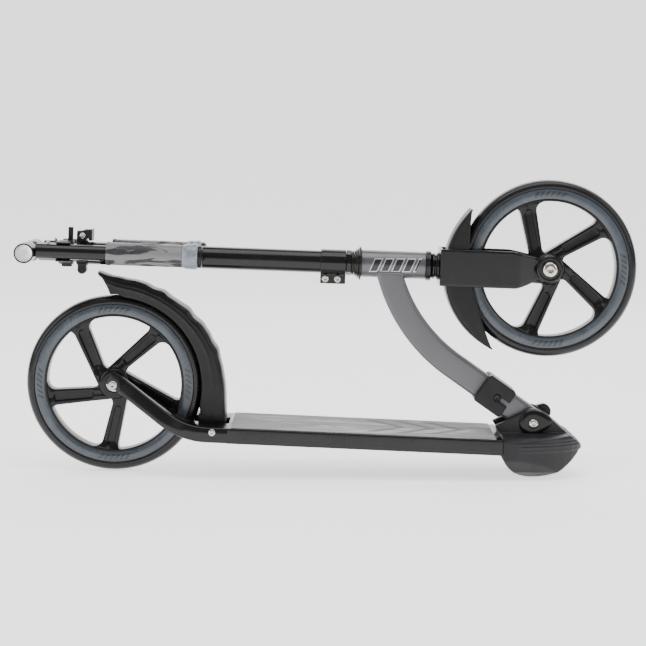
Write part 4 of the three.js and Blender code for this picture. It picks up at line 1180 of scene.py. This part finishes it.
# ---------------------------------------------------------------- casting and hinge
def build_neck():
    """The neck casting, with low ribs and a lip, and its glossy hinge covers:
    each a leaf with a round back and a pointed front, domed by a quarter ellipse."""
    softened("neck_casting", "neck_casting_body", "deck", "cast", 1.0, 9,
             shape=rib_casting)
    for side, label in ((-1, "near"), (1, "far")):
        t = np.linspace(0, 1, 80, endpoint=False)
        angle = 2 * np.pi * t
        round_back = np.stack([np.cos(angle), np.sin(angle)], 1) * 19.5
        point = np.clip(np.cos(angle), 0, 1) ** 3
        outline = round_back + point[:, None] * np.array([7.5, 2.5])
        outline[:, 1] *= 1 - 0.25 * (outline[:, 1] < 0) * np.clip(np.cos(angle), 0, 1)
        low = outline[:, 1] < -4
        outline[low, 1] = -4 - (-4 - outline[low, 1]) * 0.9
        u = np.linspace(0, np.pi / 2, 9)
        scale = np.concatenate([[1.0], 0.62 + 0.38 * np.cos(u), [0.3]])
        height = np.concatenate([[0.0], 1.2 + 3.0 * np.sin(u), [4.25]])
        flat = outline[None] * scale[:, None, None]
        y = side * (29.2 + height)[:, None] + 0 * flat[..., 0]
        points = np.stack([flat[..., 0], y, flat[..., 1]], -1)
        bore = np.stack([4.4 * np.cos(angle), side * 33.45 + 0 * angle, 4.4 * np.sin(angle)], 1)
        back = bore * np.array([1, 0, 1]) + np.array([0, side * 29.2, 0])
        rows = np.concatenate([points, bore[None], back[None]])
        Shell().grid(rows * MM + FOLD_AXIS, wrap_rows=True, wrap_columns=True).piece(
            f"{label}_hinge_cheek", "deck", "blackPlastic", "rim", (f"hinge_cover_{label}",)
        )
    softened("fold_lever", "fold_lever_cam", "fold_lever", "rim", 0.9, 8)
    softened("latch_sleeve", "latch_sleeve_body", "latch", "plastic", 0.7, 4)
    screw = Shell()
    up_stem = np.array([-math.cos(math.radians(35)), 0, math.sin(math.radians(35))])
    centre = FOLD_AXIS + up_stem * 61.6 * MM
    screw_head(screw, centre + ACROSS * -20.6 * MM, 6.4, 2.2, 3.0)
    screw.piece("latch_socket_screw", "latch", "blackPaint", "paint", ("latch_screw",))


# ---------------------------------------------------------------- bolts
def build_bolts():
    """The axle bolts, hinge bolt and side pins, as socket heads with turned shanks."""
    def shank(shell, centre, radius, low, high):
        profile = [(0, low), (radius, low), (radius, high - 0.8), (radius - 0.8, high), (0, high)]
        shell.turned(profile, centre, sides=40)
        return shell

    jobs = (
        (
            "rear_axle_bolt", REAR_AXLE, 6.8, 3.6, 2.9, -31.3, 40, "deck", "rear_axle",
            "rear_axle_nut", 7.5, 31.3, 37.5
        ),
        (
            "front_axle_bolt", FRONT_AXLE, 10.8, 4.2, 4.2, -27.6, 36, "steering", "front_axle",
            "front_axle_nut", 8.5, 27.6, 34.3
        ),
        (
            "fold_bolt", FOLD_AXIS, 7.0, 3.4, 3.1, -33.7, 62, "deck", "fold_pivot_bolt",
            "fold_pivot_nut", 7.5, 45.9, 51.6
        ),
    )
    for job in jobs:
        name, centre, head, height, socket, y0, y1, body, bolt_node, nut_node, across, n0, n1 = job
        shell = Shell()
        screw_head(shell, centre + ACROSS * y0 * MM, head, height, socket)
        shank(shell, centre, 4, y0, min(y1, n1 + 6))
        shell.piece(name, body, "bareSteel", "steel", (bolt_node,))
        nut = hex_nut(Shell(), centre, across, n0, n1, 4.3)
        nut.piece(f"{name}_nut", body, "bareSteel", "steel", (nut_node,))
    pin = Shell()
    for side in (-1, 1):
        screw_head(pin, BRAKE_PIN + ACROSS * side * 72.3 * MM, 4.9, 1.9, 2.2, axis=ACROSS * side)
    shank(pin, BRAKE_PIN, 3, -72, 72)
    pin.piece("mudguard_pin", "deck", "bareSteel", "steel", ("brake_pin",))
    for side, label in ((-1, "near"), (1, "far")):
        profile = [(4.4, 22.4), (19, 22.4), (19, 25.2), (18, 26.4), (15.6, 26.8), (14.4, 26.0),
                   (12.4, 26.0),
                   (11.9, 27.1), (4.4, 27.1)]
        cap = Shell().turned(
            [(r, y * side) for r, y in rounded(profile, 0.5)], FRONT_AXLE, sides=96
        )
        cap.piece(f"{label}_fork_cap", "steering", "blackPaint", "paint", (f"fork_cap_{label}",))


# ---------------------------------------------------------------- fork and column
def build_fork():
    """The fork, softened from its plates."""
    softened("fork", "fork_body", "steering", "paint", 1.2, 7)


def build_column():
    """The column's tubes, its clamps, and the tee that the handles plug into."""
    column_turned("outer_column_tube", tube_profile(13.2, COLUMN_RADIUS, 131.3, 505, 0.6),
                  "steering", "blackPaint", "paint", ("outer_column",), sides=96)
    column_turned("inner_column_tube", tube_profile(10.7, 12.7, 220, 564.5, 0.5),
                  "upper_column", "blackPaint", "paint", ("inner_column",), sides=80)
    for node, body, slot, finish, cell in (
        ("column_clamp", "steering", "blackPaint", "paint", 0.7),
        ("height_clamp", "steering", "blackPlastic", "plastic", 0.6),
        ("height_lever", "height_lever", "blackPlastic", "plastic", 0.55),
        ("grip_holder", "upper_column", "blackPlastic", "plastic", 0.7),
    ):
        softened(node, f"{node}_body", body, finish, cell, 4)
    tee = tube_profile(11.8, TEE_RADIUS, -TEE_HALF_LENGTH, TEE_HALF_LENGTH, 0.5)
    centre = from_column((0, 0, TEE_PLACE))
    Shell().turned(tee, centre, sides=96).piece(
        "handlebar_tee_tube", "upper_column", "blackPaint", "paint", ("handlebar_tee",)
    )
    liner = [(11.5, -54.6), (11.79, -54.6), (11.79, 54.6), (11.5, 54.6)]
    Shell().turned(liner, centre, sides=96).piece(
        "tee_bare_bore", "upper_column", "bareSteel", "bare"
    )
    weld = Shell()
    a = np.linspace(0, 2 * np.pi, 90, endpoint=False)
    b = np.linspace(0, 2 * np.pi, 12, endpoint=False)
    off = 12.9 * np.cos(a)
    side = 12.9 * np.sin(a)
    along = TEE_PLACE - np.sqrt(np.clip(TEE_RADIUS**2 - off**2, 0, None))
    middle = np.stack([off, side, along], 1)
    out = np.stack([np.cos(a), np.sin(a), 0 * a], 1)
    size = 1.5 * (1 + 0.1 * np.sin(a * 22))
    points = middle[:, None] + size[:, None, None] * (
        np.cos(b)[None, :, None] * out[:, None] + np.sin(b)[None, :, None] * np.array([0, 0, 1.0])
    )
    weld.grid(from_column(points), wrap_rows=True, wrap_columns=True)
    weld.piece("tee_weld", "upper_column", "blackPaint", "paint")
    for place_along, label in ((142.6, "column_clamp_screw_1"), (159.7, "column_clamp_screw_2")):
        shell = Shell()
        middle = from_column((-23, 0, place_along))
        screw_head(shell, middle + ACROSS * -8.3 * MM, 5.3, 3.2, 2.6)
        shell.turned([(0, -8.3), (2.5, -8.3), (2.5, 8.5), (0, 8.5)], middle, sides=24)
        shell.piece(f"{label}_socket", "steering", "bareSteel", "steel", (label,))
    shell = Shell()
    middle = from_column((25, 0, 502))
    screw_head(shell, middle + ACROSS * -14 * MM, 4.6, 2.8, 2.2)
    shell.turned([(0, -14), (2.5, -14), (2.5, 14), (0, 14)], middle, sides=24)
    shell.piece("height_clamp_screw", "steering", "bareSteel", "steel", ("height_clamp_bolt",))


# ---------------------------------------------------------------- handles
def build_handle(label, across):
    """A folded handle: its plug tube, the mottled sleeve, the soft flange and the end."""
    body = f"{label}_handle"
    common = {"off": HANDLE_RISE, "across": across, "sides": 72}
    tube = rounded(
        [
            (9.2, 340), (HANDLE_TUBE_RADIUS, 340), (HANDLE_TUBE_RADIUS, 562.6), (10.3, 563.1),
            (9.2, 563.1)
        ],
        0.4
    )
    column_turned(
        f"{label}_plug_tube", tube, body, "blackPaint", "paint", (f"{label}_handle_tube",), **common
    )
    t = np.linspace(0, 1, 30)
    length = 360 + 99 * t
    bulge = 15.6 + 0.25 * np.sin(np.pi * t) + 0.06 * np.sin(t * 60)
    lip = [(16.2, 459.6), (16.4, 460.4), (16.4, 464.2), (15.9, 465), (11.1, 465), (11.1, 360)]
    sleeve = np.concatenate([np.stack([bulge, length], 1), lip])
    column_turned(
        f"{label}_grip_sleeve", sleeve, body, "gripGrey", "smoky", (f"{label}_grip",), **common
    )
    flange = [(11.1, 338), (16.6, 338), (17.8, 339.2), (18.25, 341.5), (18.0, 346), (17.2, 348),
              (17.9, 350),
              (18.0, 352.5), (16.6, 356), (15.9, 359.7), (11.1, 359.7)]
    column_turned(f"{label}_soft_flange", rounded(flange, 1.0), body, "flangeGrey", "flange",
                  (f"{label}_grip_flange",), **common)
    end = [(0, 331.5), (13.5, 331.5), (15.6, 333), (16, 335.2), (15.8, 337.7), (0, 337.7)]
    column_turned(f"{label}_end_plug", rounded(end, np.array([0, 0.8, 0.8, 0.5, 0.4, 0])), body,
                  "blackPlastic", "plastic", (f"{label}_grip_end",), **common)
    button = [(0, 6.6), (2.5, 6.6), (2.5, 13), (2.1, 14), (1.2, 14.5), (0, 14.6)]
    centre = from_column((HANDLE_RISE, across, 547))
    Shell().turned(button, centre, OFF_COLUMN, 32).piece(
        f"{label}_spring_button", f"{label}_snap_button", "bareSteel", "steel",
        (f"{label}_snap_button",)
    )


# ---------------------------------------------------------------- stage
def build_stage(distance):
    """A pale floor that gives off some light and bends up into a backdrop far behind, four
    soft lamps, and a camera level with the scooter's side, tipped 6 degrees down."""
    white = Finish("studio white", (0.93, 0.93, 0.93), 0.9, specular=0.1)
    white.shader.inputs["Emission Color"].default_value = (1, 1, 1, 1)
    white.shader.inputs["Emission Strength"].default_value = 1.25
    grain = white.group("grain", Scale=30.0)
    white.vary_roughness(grain.outputs["Mask"], 0.85, 0.95)
    y = np.concatenate(
        [np.linspace(-9, 3, 3), 3 + 3 * np.sin(np.linspace(0.1, np.pi / 2, 16)), [6.0]]
    )
    z = np.concatenate([np.zeros(3), 3 - 3 * np.cos(np.linspace(0.1, np.pi / 2, 16)), [9.0]])
    x = np.linspace(-9, 9, 3)
    points = np.stack(np.broadcast_arrays(x[:, None], y[None], z[None]), -1)
    mesh = bpy.data.meshes.new("studio_floor")
    shell = Shell().grid(points)
    mesh.from_pydata(np.concatenate(shell.points).tolist(), [], shell.faces)
    mesh.shade_smooth()
    mesh.materials.append(white.material)
    floor = bpy.data.objects.new("studio_floor", mesh)
    floor.location.z = -0.0006
    bpy.context.scene.collection.objects.link(floor)

    world = bpy.data.worlds.new("studio light")
    world.use_nodes = True
    world.node_tree.nodes["Background"].inputs["Color"].default_value = (1, 1, 1, 1)
    world.node_tree.nodes["Background"].inputs["Strength"].default_value = 0.28
    bpy.context.scene.world = world
    lamps = (
        ("top softbox", (0.1, -0.4, 2.4), (0.0, 0.1, 0.2), (2.6, 1.6), 42),
        ("left softbox", (-2.4, -1.5, 1.3), (0, 0, 0.2), (1.2, 1.8), 26),
        ("right softbox", (2.5, -1.2, 1.5), (0, 0, 0.2), (1.0, 1.8), 22),
        ("back softbox", (0.3, 2.2, 1.8), (0, 0, 0.25), (3.0, 1.2), 20),
    )
    for name, where, target, size, power in lamps:
        light = bpy.data.lights.new(name, "AREA")
        light.shape = "RECTANGLE"
        light.size, light.size_y = size
        light.energy = power
        lamp = bpy.data.objects.new(name, light)
        lamp.location = where
        lamp.rotation_euler = (Vector(target) - Vector(where)).to_track_quat("-Z", "Y").to_euler()
        bpy.context.scene.collection.objects.link(lamp)

    lens = bpy.data.cameras.new("studio camera")
    lens.sensor_width = 36
    lens.lens = 36 * 1834 / 646
    lens.clip_end = 60
    camera = bpy.data.objects.new("studio camera", lens)
    tip = math.radians(6)
    roll = math.radians(0.45)
    up = Vector((0, math.sin(tip), math.cos(tip)))
    right = Vector((1, 0, 0)) * math.cos(roll) + up * math.sin(roll)
    up = up * math.cos(roll) - Vector((1, 0, 0)) * math.sin(roll)
    turn = Matrix((right, up, right.cross(up))).transposed()
    camera.matrix_world = Matrix.Translation(
        (-0.005 + DRAWING_SHIFT, -distance, 0.4837)
    ) @ turn.to_4x4()
    bpy.context.scene.collection.objects.link(camera)
    bpy.context.scene.camera = camera


# ---------------------------------------------------------------- operators
class SCOOTER_OT_stage(bpy.types.Operator):
    """Make the finishes, the floor, the lamps and the camera"""

    bl_idname = "scooter.stage"
    bl_label = "Stage and finishes"

    def execute(self, context):
        make_materials(context.scene.scooter_colors)
        build_stage(context.scene.scooter_sizes.camera_distance)
        return {"FINISHED"}


class SCOOTER_OT_wheels(bpy.types.Operator):
    """Build both wheels with their tyres and bearings"""

    bl_idname = "scooter.wheels"
    bl_label = "Wheels"

    def execute(self, context):
        sizes = context.scene.scooter_sizes
        build_wheel("rear", REAR_AXLE, math.radians(-31.1), sizes)
        build_wheel("front", FRONT_AXLE, math.radians(-42.69), sizes)
        return {"FINISHED"}


class SCOOTER_OT_deck(bpy.types.Operator):
    """Build the deck, its arms and its grip tape"""

    bl_idname = "scooter.deck"
    bl_label = "Deck"

    def execute(self, context):
        build_deck()
        return {"FINISHED"}


class SCOOTER_OT_mudguards(bpy.types.Operator):
    """Build both mudguards and the brake pad"""

    bl_idname = "scooter.mudguards"
    bl_label = "Mudguards"

    def execute(self, context):
        build_rear_mudguard(context.scene.scooter_sizes)
        build_front_mudguard()
        return {"FINISHED"}


class SCOOTER_OT_stem(bpy.types.Operator):
    """Build the stem, the head tube and the headset"""

    bl_idname = "scooter.stem"
    bl_label = "Stem and headset"

    def execute(self, context):
        build_stem(context.scene.scooter_sizes)
        build_headset()
        return {"FINISHED"}


class SCOOTER_OT_neck(bpy.types.Operator):
    """Build the neck casting, the fold hinge and its latch"""

    bl_idname = "scooter.neck"
    bl_label = "Neck and fold hinge"

    def execute(self, context):
        build_neck()
        return {"FINISHED"}


class SCOOTER_OT_bolts(bpy.types.Operator):
    """Build the axle bolts, the hinge bolt, their nuts and the fork's caps"""

    bl_idname = "scooter.bolts"
    bl_label = "Bolts and caps"

    def execute(self, context):
        build_bolts()
        return {"FINISHED"}


class SCOOTER_OT_column(bpy.types.Operator):
    """Build the fork, the column's tubes, clamps and handlebar tee"""

    bl_idname = "scooter.column"
    bl_label = "Fork and column"

    def execute(self, context):
        build_fork()
        build_column()
        return {"FINISHED"}


class SCOOTER_OT_handles(bpy.types.Operator):
    """Build the two folded handles"""

    bl_idname = "scooter.handles"
    bl_label = "Handles"

    def execute(self, context):
        build_handle("near", -HANDLE_OFFSET)
        build_handle("far", HANDLE_OFFSET)
        return {"FINISHED"}


class SCOOTER_PT_build(bpy.types.Panel):
    """Lists the scooter's operators and settings"""

    bl_idname = "SCOOTER_PT_build"
    bl_label = "Folding Kick Scooter"
    bl_space_type = "VIEW_3D"
    bl_region_type = "UI"
    bl_category = "Scooter"

    def draw(self, context):
        for settings in (context.scene.scooter_colors, context.scene.scooter_sizes):
            for name in settings.bl_rna.properties.keys():
                if name not in ("rna_type", "name"):
                    self.layout.prop(settings, name)
        for operator in OPERATORS:
            self.layout.operator(operator.bl_idname)


OPERATORS = (
    SCOOTER_OT_stage,
    SCOOTER_OT_wheels,
    SCOOTER_OT_deck,
    SCOOTER_OT_mudguards,
    SCOOTER_OT_stem,
    SCOOTER_OT_neck,
    SCOOTER_OT_bolts,
    SCOOTER_OT_column,
    SCOOTER_OT_handles,
)
CLASSES = (ScooterColors, ScooterSizes, *OPERATORS, SCOOTER_PT_build)


def register():
    for cls in CLASSES:
        bpy.utils.register_class(cls)
    bpy.types.Scene.scooter_colors = bpy.props.PointerProperty(type=ScooterColors)
    bpy.types.Scene.scooter_sizes = bpy.props.PointerProperty(type=ScooterSizes)


def unregister():
    del bpy.types.Scene.scooter_sizes
    del bpy.types.Scene.scooter_colors
    for cls in reversed(CLASSES):
        bpy.utils.unregister_class(cls)


def main():
    register()
    for operator in OPERATORS:
        group, name = operator.bl_idname.split(".")
        getattr(getattr(bpy.ops, group), name)()


if __name__ == "__main__":
    main()
